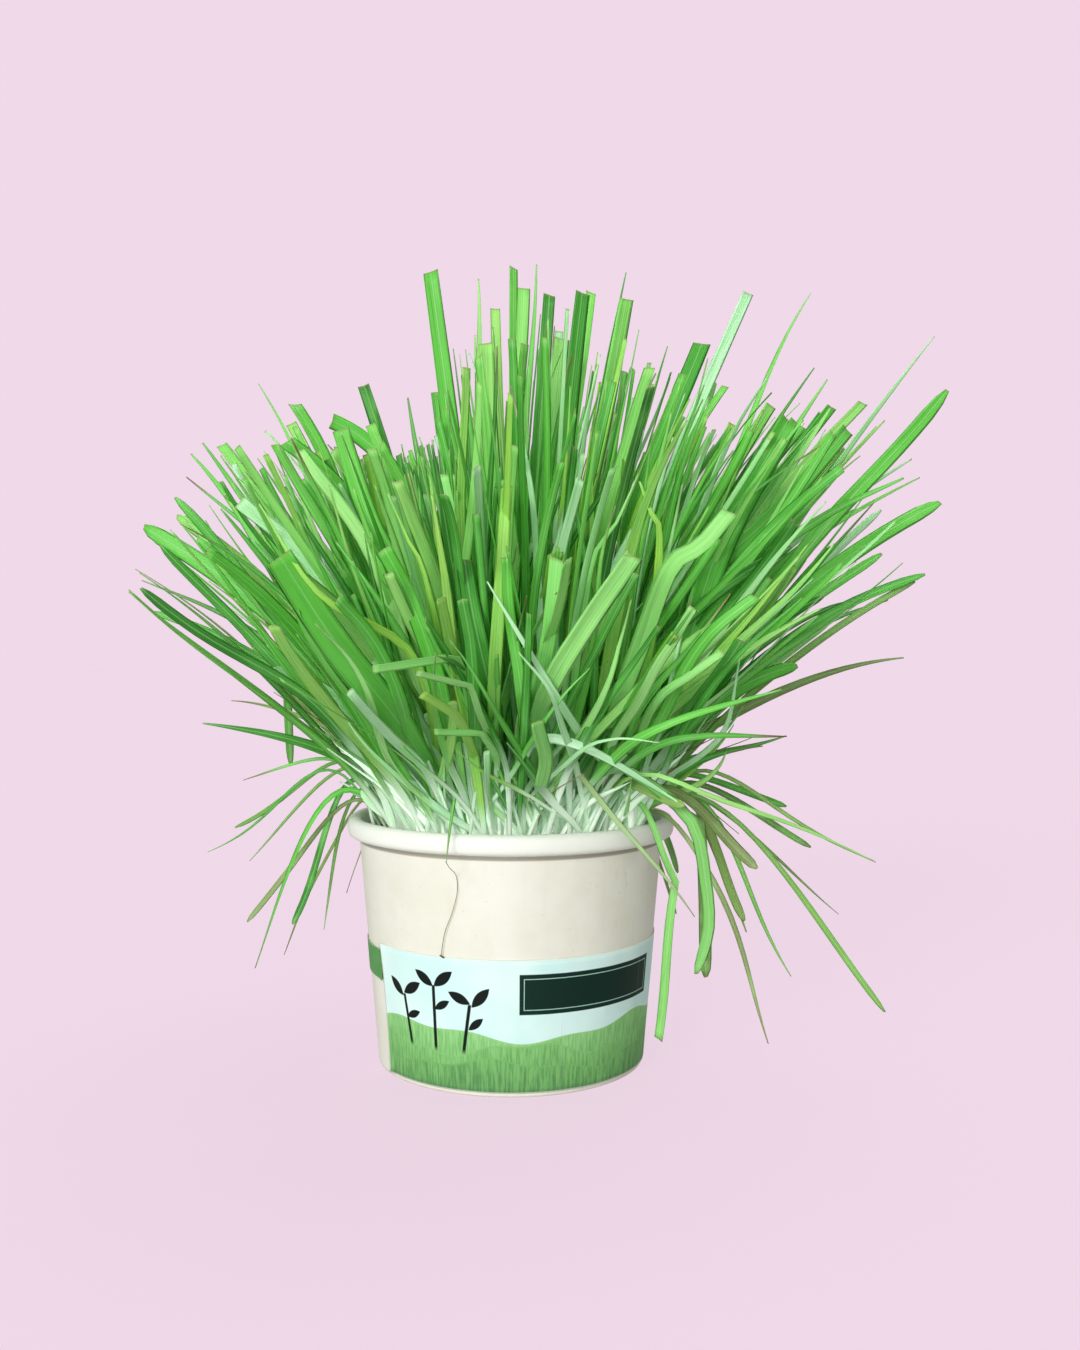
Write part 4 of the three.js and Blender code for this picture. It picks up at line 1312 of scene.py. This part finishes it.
def bunch_piece(name, blades, centre, finish, draw):
    """One fine piece for one solid bunch: its own blades, then looser ones between them."""
    heap = Heap()
    for blade in blades:
        if blade.end_lean <= DROOP_LEAN and not blade.kink:
            draw_in(blade)
            if not blade.picked and blade.tip.z < seen_height(blade.tip, SKIRT):
                continue
        own_blade(heap, blade, draw)
    for i in range(LOOSE_BLADES + SHORT_BLADES):
        short = i >= LOOSE_BLADES
        way = draw(0, 360) if centre is None else centre
        blade = loose_blade(way, draw, short)
        path = clear_line(blade)
        tone = any_tone(draw)
        if short:
            tone = (tone[0], max(tone[1], draw(-0.3, 0.9), 0), tone[2])
        if path is not None:
            fine_blade(heap, under_crest(path, draw), blade.width, blade.cut, any_facing(draw), tone, draw)
    return heap.piece(name, finish, "grass", replaced=(name.replace("blades", "grass"),))


def near_stem(draw):
    """Centre line of a short pale stem in front, kept inside the rim; most of them lean left."""
    turn, radius = math.radians(draw(205, 336)), draw(20, 38)
    foot_x = max(MAT_LEFT + 2, math.cos(turn) * radius)
    foot = np.array([foot_x, math.sin(turn) * radius, MAT_TOP - ROOT_DEPTH])
    sideways = draw(-1.0, -0.2) if foot[0] < 12 else draw(-0.7, 0.9)
    if foot[0] < -22:
        sideways = 0.5 * sideways + 0.15
    way = unit(np.array([sideways, draw(-0.35, 0.2), 1]))
    length = draw(20, 52)
    middle = foot + way * length * 0.5 + [0, 0, length * 0.09]
    tip = foot + way * length
    tip[2] = max(tip[2], OVER_RIM + 2)
    path = smooth_path([foot, middle, tip], RINGS)
    while any(z < 75 and math.hypot(x, y) > INSIDE_RIM + 0.7 for x, y, z in path):
        path[:, :2] *= 0.97
    return path


def near_piece(finish, draw):
    """Blades nearest to the eye: those listed one by one, pale stems, and narrow crossing blades."""
    heap = Heap()
    for *points, width, tone, cut in NEAR_BLADES:
        inward = min(0.94, OUTER_ROOTS / math.hypot(points[0][0], points[0][1]))
        foot = [points[0][0] * inward, points[0][1] * inward, MAT_TOP - ROOT_DEPTH]
        path = nearer(smooth_path([foot, *points], RINGS), min(24, 102 + points[-1][1]))
        facing = eye_facing(draw, 0.2, -0.1, 0.3)
        sheath = WHITE_SHEATH if tone == "white" else None
        fine_blade(heap, path, width, cut, facing, TONES[tone], draw, swing=22, sheath=sheath, neck=0.6)
    for i in range(PALE_STEMS):
        facing = eye_facing(draw, 0.4, -0.2, 0.5)
        tone = TONES["white" if i % 2 else "light"]
        sheath = WHITE_SHEATH if i % 2 else draw(18, 34)
        fine_blade(heap, near_stem(draw), draw(1.2, 2.4), POINTED, facing, tone, draw, sheath=sheath)
    for _ in range(FRONT_BLADES):
        blade = front_blade(draw)
        path = clear_line(blade)
        facing = eye_facing(draw, 0.7, -0.4, 0.6)
        if path is not None:
            path = under_crest(path, draw)
            tone = front_tone(draw)
            sheath = draw(9, 24)
            fine_blade(heap, path, blade.width, blade.cut, facing, tone, draw, swing=50, sheath=sheath)
    return heap.piece("blades_near", finish, "grass")


# Tub

# Overlapped seam of the board, at the back: where it is in degrees, its thickness, and its sloped edges
SEAM_START, SEAM_END = 95.5, 104.5
SEAM_THICKNESS = 0.5
SEAM_SLOPE = 0.5
TURNED_SIDES = 288
# The rolled bead, from its tucked edge outwards, over the top and in: [radius, height above its underside]
BEAD = [
    [45.46, 0], [45.47, 0.8], [45.8, 0.85], [45.86, 0.2], [46.2, -0.05], [46.9, -0.02],
    [47.8, 0.2], [48.5, 0.65], [48.86, 1.35], [48.98, 2.2], [RIM_RADIUS, 3.1], [48.93, 4.0],
    [48.66, 4.75], [48.15, 5.35], [47.45, 5.7], [46.7, RIM_HEIGHT], [45.95, 5.68], [45.3, 5.3],
    [44.9, 4.7], [44.68, 3.8], [44.6, 2.4], [44.58, 0.8],
]


def out_of_round(turn, height):
    """How far the thin board stands out of a true circle, in millimetres."""
    wave = 0.16 * math.sin(2 * turn + 1) + 0.08 * math.sin(5 * turn + 2) + 0.04 * math.sin(11 * turn)
    return wave * (0.4 + 0.6 * height / TUB_HEIGHT)


def seam_step(degrees):
    """Thickness of the overlapped board at the side seam."""
    from_edge = min(degrees - SEAM_START, SEAM_END - degrees)
    return SEAM_THICKNESS * max(0, min(1, from_edge / SEAM_SLOPE))


def turned_piece(name, outline, finish, node, closed, seam):
    """A piece turned about the tub's axis from an outline of [radius, height, is outer side]."""
    seam_edges = {SEAM_START, SEAM_START + SEAM_SLOPE, SEAM_END - SEAM_SLOPE, SEAM_END}
    degrees = sorted(set(np.linspace(0, 360, TURNED_SIDES, endpoint=False)) | seam_edges)
    points, heights, turns = [], [], []
    for turn in degrees:
        angle = math.radians(turn)
        for radius, height, outer in outline:
            wide = radius + out_of_round(angle, height)
            if seam and outer:
                wide += seam_step(turn)
            points.append((wide * math.cos(angle), wide * math.sin(angle), height))
            heights.append(height)
            turns.append((turn + 180) % 360 - 180)
    sides, rows = len(degrees), len(outline)
    faces = []
    for i in range(sides):
        for j in range(rows if closed else rows - 1):
            a, b = i * rows, ((i + 1) % sides) * rows
            k = (j + 1) % rows
            faces.append((a + j, b + j, b + k, a + k))
    if not closed:
        faces.append(tuple(i * rows for i in reversed(range(sides))))
        faces.append(tuple(i * rows + rows - 1 for i in range(sides)))
    stored = {"height": heights, "turn": turns}
    return make_piece(name, points, faces, finish, stored, (node,))


def wall_outline():
    """Section of the board: inner side, foot, outer side, then the bead rolled outwards."""
    under = RIM_UNDERSIDE
    inner, outer = [], []
    for height in np.linspace(under - 0.5, 0.4, 12):
        inner.append((wall_radius(height) - WALL_THICKNESS, height, False))
    for height in [0.35, 0.8, 1.5, *np.linspace(4, under - 0.6, 18)]:
        outer.append((wall_radius(height), height, True))
    foot = [(FOOT_RADIUS - WALL_THICKNESS + 0.1, 0.05, False), (FOOT_RADIUS - 0.45, 0, True)]
    foot.append((FOOT_RADIUS - 0.12, 0.08, True))
    bead = [(radius, under + rise, rise < 0.3) for radius, rise in BEAD]
    return inner + foot + outer + bead


def disc_outline():
    """Section of the bottom disc, with its edge folded down."""
    top = DISC_HEIGHT + DISC_THICKNESS
    edge = wall_radius(DISC_HEIGHT) - WALL_THICKNESS - 0.25
    rows = [(8, DISC_HEIGHT), (22, DISC_HEIGHT), (edge - 2.2, DISC_HEIGHT)]
    rows += [(edge - 1.2, DISC_HEIGHT - 0.3), (edge - 0.85, DISC_HEIGHT - 1.2)]
    rows += [(edge - 1.1, 2.2), (edge - 1.2, 1.1), (edge - 0.8, 0.95), (edge - 0.45, 1.1)]
    rows += [(edge - 0.2, 3.0), (edge, 5.4), (edge - 0.1, top - 0.3)]
    rows += [(edge - 0.5, top), (20, top), (8, top)]
    return [(radius, height, False) for radius, height in rows]


PAPER_THICKNESS = 0.22
GLUE = 0.14
# Radius at which lengths along the paper are measured
PRINT_RADIUS = 43


def paper_lift(turn, height, bottom, top, start, end):
    """How far a glued paper stands off, by its lifted end corners and by its ripples and a fold."""
    middle = (height - bottom) / (top - bottom)
    to_end = min(turn - start, end - turn)
    corner = max(0, 1 - to_end / 5) ** 2 * (0.25 + 0.5 * abs(middle * 2 - 1) ** 3)
    ripple = noise.noise(Vector((turn * 0.11, height * 0.05, bottom))) * 0.12
    ripple *= min(1, to_end / 8)
    ripple += 0.06 * max(0, 1 - abs(turn - start - 78) / 1.2)
    return corner, max(ripple, -0.06)


def band_faces(columns, rows):
    """Faces of a closed band: its outer sheet, its inner sheet, and the rim that joins them."""
    sheet = columns * rows
    faces = []
    for i in range(columns - 1):
        for j in range(rows - 1):
            a = i * rows + j
            faces.append((a, a + rows, a + rows + 1, a + 1))
            faces.append((sheet + a, sheet + a + 1, sheet + a + rows + 1, sheet + a + rows))
    border = [i * rows for i in range(columns)]
    border += [(columns - 1) * rows + j for j in range(1, rows)]
    border += [i * rows + rows - 1 for i in reversed(range(columns - 1))]
    border += [j for j in reversed(range(1, rows - 1))]
    for a, b in zip(border, border[1:] + border[:1]):
        faces.append((b, a, sheet + a, sheet + b))
    return faces


def paper_piece(name, bottom, top, start, end, finish, slot, node):
    """A paper band glued round the wall, with soft ripples and slightly lifted end corners."""
    turns = np.arange(start, end + 0.4, 0.75)
    turns[-1] = end
    heights = np.linspace(bottom, top, 22)
    points, alongs, rises = [], [], []
    for layer in (GLUE + PAPER_THICKNESS, GLUE):
        for turn in turns:
            for height in heights:
                angle = math.radians(turn)
                corner, ripple = paper_lift(turn, height, bottom, top, start, end)
                radius = wall_radius(height) + out_of_round(angle, height) + layer
                radius += seam_step(turn % 360) + corner + ripple
                points.append((radius * math.cos(angle), radius * math.sin(angle), height))
                alongs.append(math.radians(turn - start) * PRINT_RADIUS)
                rises.append(height - bottom)
    faces = band_faces(len(turns), len(heights))
    return make_piece(name, points, faces, finish, {"along": alongs, "rise": rises}, (node,))


# Soil and what lies on it

def soil_top(x, y):
    """Height of the rough soil surface at a place."""
    radius = math.hypot(x, y)
    rough = noise.fractal(Vector((x * 0.16, y * 0.16, 3)), 0.8, 2.1, 4) * 1.5
    crumbs = noise.fractal(Vector((x * 0.7, y * 0.7, 9)), 0.7, 2.0, 3) * 0.6
    bank = 0.9 * max(0, (radius - 34) / 10)
    return SOIL_HEIGHT - 1.2 + bank + rough + crumbs


def soil_piece(finish):
    """The soil's body: rough on top, and as wide as the tub's inside."""
    rings, sides = 70, 200
    bottom = DISC_HEIGHT + DISC_THICKNESS + GAP
    wide = wall_radius(SOIL_HEIGHT) - WALL_THICKNESS - 0.35
    low = wall_radius(bottom) - WALL_THICKNESS - 0.35
    points = [(0, 0, soil_top(0, 0))]
    for ring in range(1, rings + 1):
        for side in range(sides):
            angle = 2 * math.pi * side / sides
            radius = wide * ring / rings
            x, y = radius * math.cos(angle), radius * math.sin(angle)
            points.append((x, y, soil_top(x, y)))
    for side in range(sides):
        angle = 2 * math.pi * side / sides
        points.append((low * math.cos(angle), low * math.sin(angle), bottom))
    faces = [(0, 1 + side, 1 + (side + 1) % sides) for side in range(sides)]
    for ring in range(rings):
        for side in range(sides):
            a = 1 + ring * sides + side
            b = 1 + ring * sides + (side + 1) % sides
            faces.append((a, a + sides, b + sides, b))
    last = 1 + rings * sides
    faces.append(tuple(reversed(range(last, last + sides))))
    return make_piece("soil_surface", points, faces, finish, replaced=("soil",))


def ball(segments=7, rows=5):
    """A small closed ball of unit radius, its points and faces."""
    points = [(0, 0, -1)]
    for row in range(1, rows):
        lift = -math.cos(math.pi * row / rows)
        wide = math.sin(math.pi * row / rows)
        for segment in range(segments):
            angle = 2 * math.pi * segment / segments
            points.append((wide * math.cos(angle), wide * math.sin(angle), lift))
    points.append((0, 0, 1))
    top = len(points) - 1
    faces = []
    for segment in range(segments):
        beside = (segment + 1) % segments
        faces.append((0, 1 + beside, 1 + segment))
        for row in range(rows - 2):
            a, b = 1 + row * segments + segment, 1 + row * segments + beside
            faces.append((a, b, b + segments, a + segments))
        faces.append((top - segments + segment, top - segments + beside, top))
    return np.array(points), faces


def spun(points, draw):
    """Points turned to any direction."""
    axis = Vector((draw(-1, 1), draw(-1, 1), draw(-1, 1)))
    return points @ np.array(Matrix.Rotation(draw(0, 6.28), 3, axis)).T


def scattered(draw, inner, outer):
    """A place on the soil between two radii."""
    radius = math.sqrt(draw(inner**2, outer**2))
    angle = draw(0, 2 * math.pi)
    return radius * math.cos(angle), radius * math.sin(angle)


def add_crumbs(heap, draw):
    """Soil crumbs, with a white bit of perlite now and then."""
    round_points, round_faces = ball()
    for i in range(CRUMBS):
        x, y = scattered(draw, 0, 42.5)
        size = draw(0.35, 1.3)
        lumps = np.array([1 + draw(-0.3, 0.3) for _ in round_points])[:, None]
        shape = spun(round_points * lumps * [1, draw(0.6, 1), draw(0.5, 0.9)], draw) * size
        tone = 1 if i % 23 == 0 else draw(0, 0.34)
        heap.add(shape + [x, y, soil_top(x, y) + size * 0.3], round_faces, tone=tone)


def add_husks(heap, draw):
    """Husks of the sown grains, each with its crease."""
    round_points, round_faces = ball()
    for _ in range(HUSKS):
        x, y = scattered(draw, 0, 40)
        grain = round_points * [3.1, 1.35, 1.25]
        grain[:, 2] -= 0.5 * np.exp(-(grain[:, 1] ** 2) * 8) * (grain[:, 2] > 0.2)
        shape = spun(grain, draw)
        heap.add(shape + [x, y, soil_top(x, y) + draw(-0.2, 0.9)], round_faces, tone=draw(0.45, 0.75))


def add_roots(heap, draw):
    """White roots that wind over the soil."""
    for _ in range(ROOTS):
        x, y = scattered(draw, 0, 41)
        heading, path = draw(0, 6.28), []
        for _ in range(7):
            path.append((x, y, soil_top(x, y) + 0.5 + draw(-0.3, 0.5)))
            heading += draw(-0.7, 0.7)
            x, y = x + math.cos(heading) * 1.9, y + math.sin(heading) * 1.9
            if math.hypot(x, y) > 43:
                heading += 2
                x, y = x * 0.93, y * 0.93
        thin_tube(heap, path, np.linspace(0.28, 0.12, 7), draw(0.86, 1), 4)


def soil_bits(finish, draw):
    """Crumbs, grain husks, perlite and white roots that lie in the soil's surface."""
    heap = Heap()
    add_crumbs(heap, draw)
    add_husks(heap, draw)
    add_roots(heap, draw)
    return heap.piece("soil_bits", finish, "soil")


# Dry fibres and hairs

# A dry fibre that hangs from a blade's tip in front of the tub, then down the wall by [turn, height]
FIBRE_RADIUS = 0.1
FIBRE_TOP = [(-17.2, -50.3, 66.4), (-16.2, -49.0, 64.4)]
FIBRE_DOWN = [[-108.9, 61.5], [-108.6, 57], [-110.8, 51], [-113.6, 46], [-115.2, 41], [-115.6, 38.6]]
# What the leaf finish reads on a hair: a ripe, pale, light green one
HAIR_SHADE = {"ripe": 2, "reach": 30, "across": 1, "tint": 0.85, "dryness": 0, "pale": 0.8, "straw": 0}


def add_hanging_fibre(heap):
    """The fibre on the front of the tub, with a small crooked end."""
    path = list(FIBRE_TOP)
    for turn, height in FIBRE_DOWN:
        angle = math.radians(turn)
        radius = wall_radius(height) + out_of_round(angle, height) + 0.75
        path.append((radius * math.cos(angle), radius * math.sin(angle), height))
    thin_tube(heap, smooth_path(path, 40), FIBRE_RADIUS, 0.45)
    end = np.array(path[-1])
    thin_tube(heap, [end + [-0.5, 0, 0.4], end + [0.1, -0.1, 0], end + [0.7, -0.1, -0.3]], 0.22, 0)


def add_wisp(heap, draw):
    """A thin dry wisp that leans outwards among the blades."""
    turn = draw(0, 2 * math.pi)
    radius = draw(14, 34)
    foot = np.array([math.cos(turn) * radius, math.sin(turn) * radius, MAT_TOP])
    out = np.array([math.cos(turn), math.sin(turn), 0])
    length = draw(24, 72)
    lean = draw(0.25, 0.85)
    side = np.array([-out[1], out[0], 0]) * draw(-12, 12)
    rise = np.array([0, 0, length * math.cos(lean)])
    middle = foot + out * length * 0.5 * math.sin(lean) + rise * 0.55 + side * 0.3
    tip = foot + out * length * math.sin(lean) + rise * 0.8 + side
    if math.hypot(tip[0], tip[1]) > 41:
        tip[2] = max(tip[2], OVER_RIM)
    thin_tube(heap, smooth_path([foot, middle, tip], 14), np.linspace(0.32, 0.1, 14), draw(0, 1), 4)


def dry_threads(finish, draw):
    """The fibre on the front of the tub, and wisps caught among the blades."""
    heap = Heap()
    add_hanging_fibre(heap)
    for _ in range(WISPS):
        add_wisp(heap, draw)
    return heap.piece("dry_threads", finish, "grass")


def hair_places(blade_pieces, draw):
    """Places on the edges of some blades, each with the way out of the edge."""
    places = []
    for piece in blade_pieces:
        spots = piece.data.vertices
        for _ in range(HAIRS_TRIED):
            ring = int(draw(0, len(spots) // len(ACROSS)))
            if ring % RINGS < FOOT_RINGS:
                continue
            left = np.array(spots[ring * len(ACROSS)].co) / MM
            right = np.array(spots[ring * len(ACROSS) + RIGHT_EDGE].co) / MM
            if np.linalg.norm(right - left) > 1:
                places.append((right, unit(right - left)))
    return places


def leaf_hairs(places, finish, draw):
    """Fine hairs that stand off the blades' edges."""
    points, faces = [], []
    for edge, outward in places:
        along = unit(np.cross(outward, [0.2, 0.3, 1.0]))
        tip = edge + outward * draw(0.5, 0.9) + along * draw(-0.3, 0.3)
        first = len(points)
        wide = 0.035
        upright = np.cross(outward, along)
        points += [edge + along * wide, edge + upright * wide, edge - (along + upright) * wide, tip]
        faces += [(first + 2, first + 1, first), (first, first + 1, first + 3)]
        faces += [(first + 1, first + 2, first + 3), (first + 2, first, first + 3)]
    stored = {key: [value] * len(points) for key, value in HAIR_SHADE.items()}
    return make_piece("leaf_hairs", points, faces, finish, stored)


# Everything is made here

leaf = leaf_finish()
board = board_finish()

bunches = {"blades_middle": (middle_blades(), None)}
for centre in range(0, 360, BUNCH_SPAN):
    bunches[f"blades_bunch_{centre}"] = (bunched_blades(centre) + kinked_blades(centre), centre)
bunch_draw = Draw(SEEDS["bunches"])
blade_pieces = []
for name, (blades, centre) in bunches.items():
    blade_pieces.append(bunch_piece(name, blades, centre, leaf, bunch_draw))

near_piece(leaf, Draw(SEEDS["front"]))

turned_piece("tub_board", wall_outline(), board, "tub_wall", closed=True, seam=True)
turned_piece("tub_disc", disc_outline(), board, "tub_bottom", closed=False, seam=False)
label_span = (LABEL_BOTTOM, LABEL_TOP, LABEL_START, LABEL_END)
paper_piece("printed_label", *label_span, label_finish(), "label_paper", "label")
strip_span = (STRIP_BOTTOM, STRIP_TOP, LABEL_END + 1, LABEL_START + 359)
paper_piece("printed_strip", *strip_span, strip_finish(), "strip_paper", "green_strip")
soil_piece(soil_finish())
soil_bits(crumb_finish(), Draw(SEEDS["soil"]))
dry_threads(thread_finish(), Draw(SEEDS["threads"]))

hair_draw = Draw(SEEDS["hairs"])
leaf_hairs(hair_places(blade_pieces, hair_draw), leaf, hair_draw)


# Camera, at the photograph's viewpoint

FOCAL_PIXELS = 1300
PHOTO_HEIGHT = 1350
SHIFT_RIGHT, SHIFT_DOWN = 29.5, 27
SENSOR = 36

eye = bpy.data.cameras.new("eye")
eye.sensor_width = SENSOR
eye.lens = SENSOR * FOCAL_PIXELS / PHOTO_HEIGHT
eye.shift_x = SHIFT_RIGHT / PHOTO_HEIGHT
eye.shift_y = -SHIFT_DOWN / PHOTO_HEIGHT
camera = bpy.data.objects.new("camera", eye)
bpy.context.scene.collection.objects.link(camera)
camera.location = (0, -EYE_BACK * MM, EYE_HEIGHT * MM)
camera.rotation_euler = (math.radians(90), 0, 0)
bpy.context.scene.camera = camera


# Plain pale floor, a backdrop of the same colour, and soft studio light

PALE_PINK = (0.871, 0.694, 0.815)
# How far the floor reaches, in metres
FAR = 7.0
FLOOR_GLOW, BACKDROP_GLOW = 0.86, 1.0
SKY_STRENGTH = 0.41

# Broad even lights: [name, where it comes from, strength, spread in degrees, colour]
SUNS = [
    ["key", (-0.6, -1.0, 0.4), 1.95, 26, (0.99, 1.0, 0.98)],
    ["front", (0.0, -1.0, 0.1), 0.95, 40, (0.99, 1.0, 0.98)],
    ["top", (0.2, 0.3, 1.0), 1.2, 40, (1.0, 1.0, 1.0)],
]
floor_light = SKY_STRENGTH
for name, towards, strength, spread, colour in SUNS:
    lamp = bpy.data.lights.new(name, "SUN")
    lamp.energy = strength
    lamp.angle = math.radians(spread)
    lamp.color = colour
    light = bpy.data.objects.new(name, lamp)
    bpy.context.scene.collection.objects.link(light)
    light.rotation_euler = (-Vector(towards)).to_track_quat("-Z", "Y").to_euler()
    floor_light += strength * Vector(towards).normalized().z / math.pi

world = bpy.data.worlds.new("studio")
bpy.context.scene.world = world
world.use_nodes = True
world.node_tree.nodes["Background"].inputs["Color"].default_value = (1.0, 0.99, 0.93, 1)
world.node_tree.nodes["Background"].inputs["Strength"].default_value = SKY_STRENGTH


def stage_piece(name, points, faces, glow):
    """Floor or backdrop: this share of its colour glows, and the rest takes light and shadow."""
    mesh = bpy.data.meshes.new(name)
    mesh.from_pydata(points, [], faces)
    paint = Finish(name, gloss=0.0)
    paint.put(paint.shader.inputs["Roughness"], 1.0)
    paint.put(paint.shader.inputs["Base Color"], tuple((1 - glow) / floor_light * c for c in PALE_PINK))
    paint.put(paint.shader.inputs["Emission Color"], tuple(glow * c for c in PALE_PINK))
    paint.put(paint.shader.inputs["Emission Strength"], 1.0)
    mesh.materials.append(paint.material)
    piece = bpy.data.objects.new(name, mesh)
    bpy.context.scene.collection.objects.link(piece)
    piece.visible_diffuse = False
    piece.visible_glossy = False
    piece.visible_transmission = False
    return piece


corners = [(-FAR, -FAR, 0), (FAR, -FAR, 0), (FAR, FAR, 0), (-FAR, FAR, 0)]
stage_piece("floor", corners, [(0, 1, 2, 3)], FLOOR_GLOW)
drape_points, drape_faces = ball(24, 12)
drape_faces = [tuple(reversed(face)) for face in drape_faces]
drape = stage_piece("backdrop", (drape_points * FAR * 0.98).tolist(), drape_faces, BACKDROP_GLOW)
drape.visible_shadow = False
bpy.context.scene.view_settings.view_transform = "Standard"
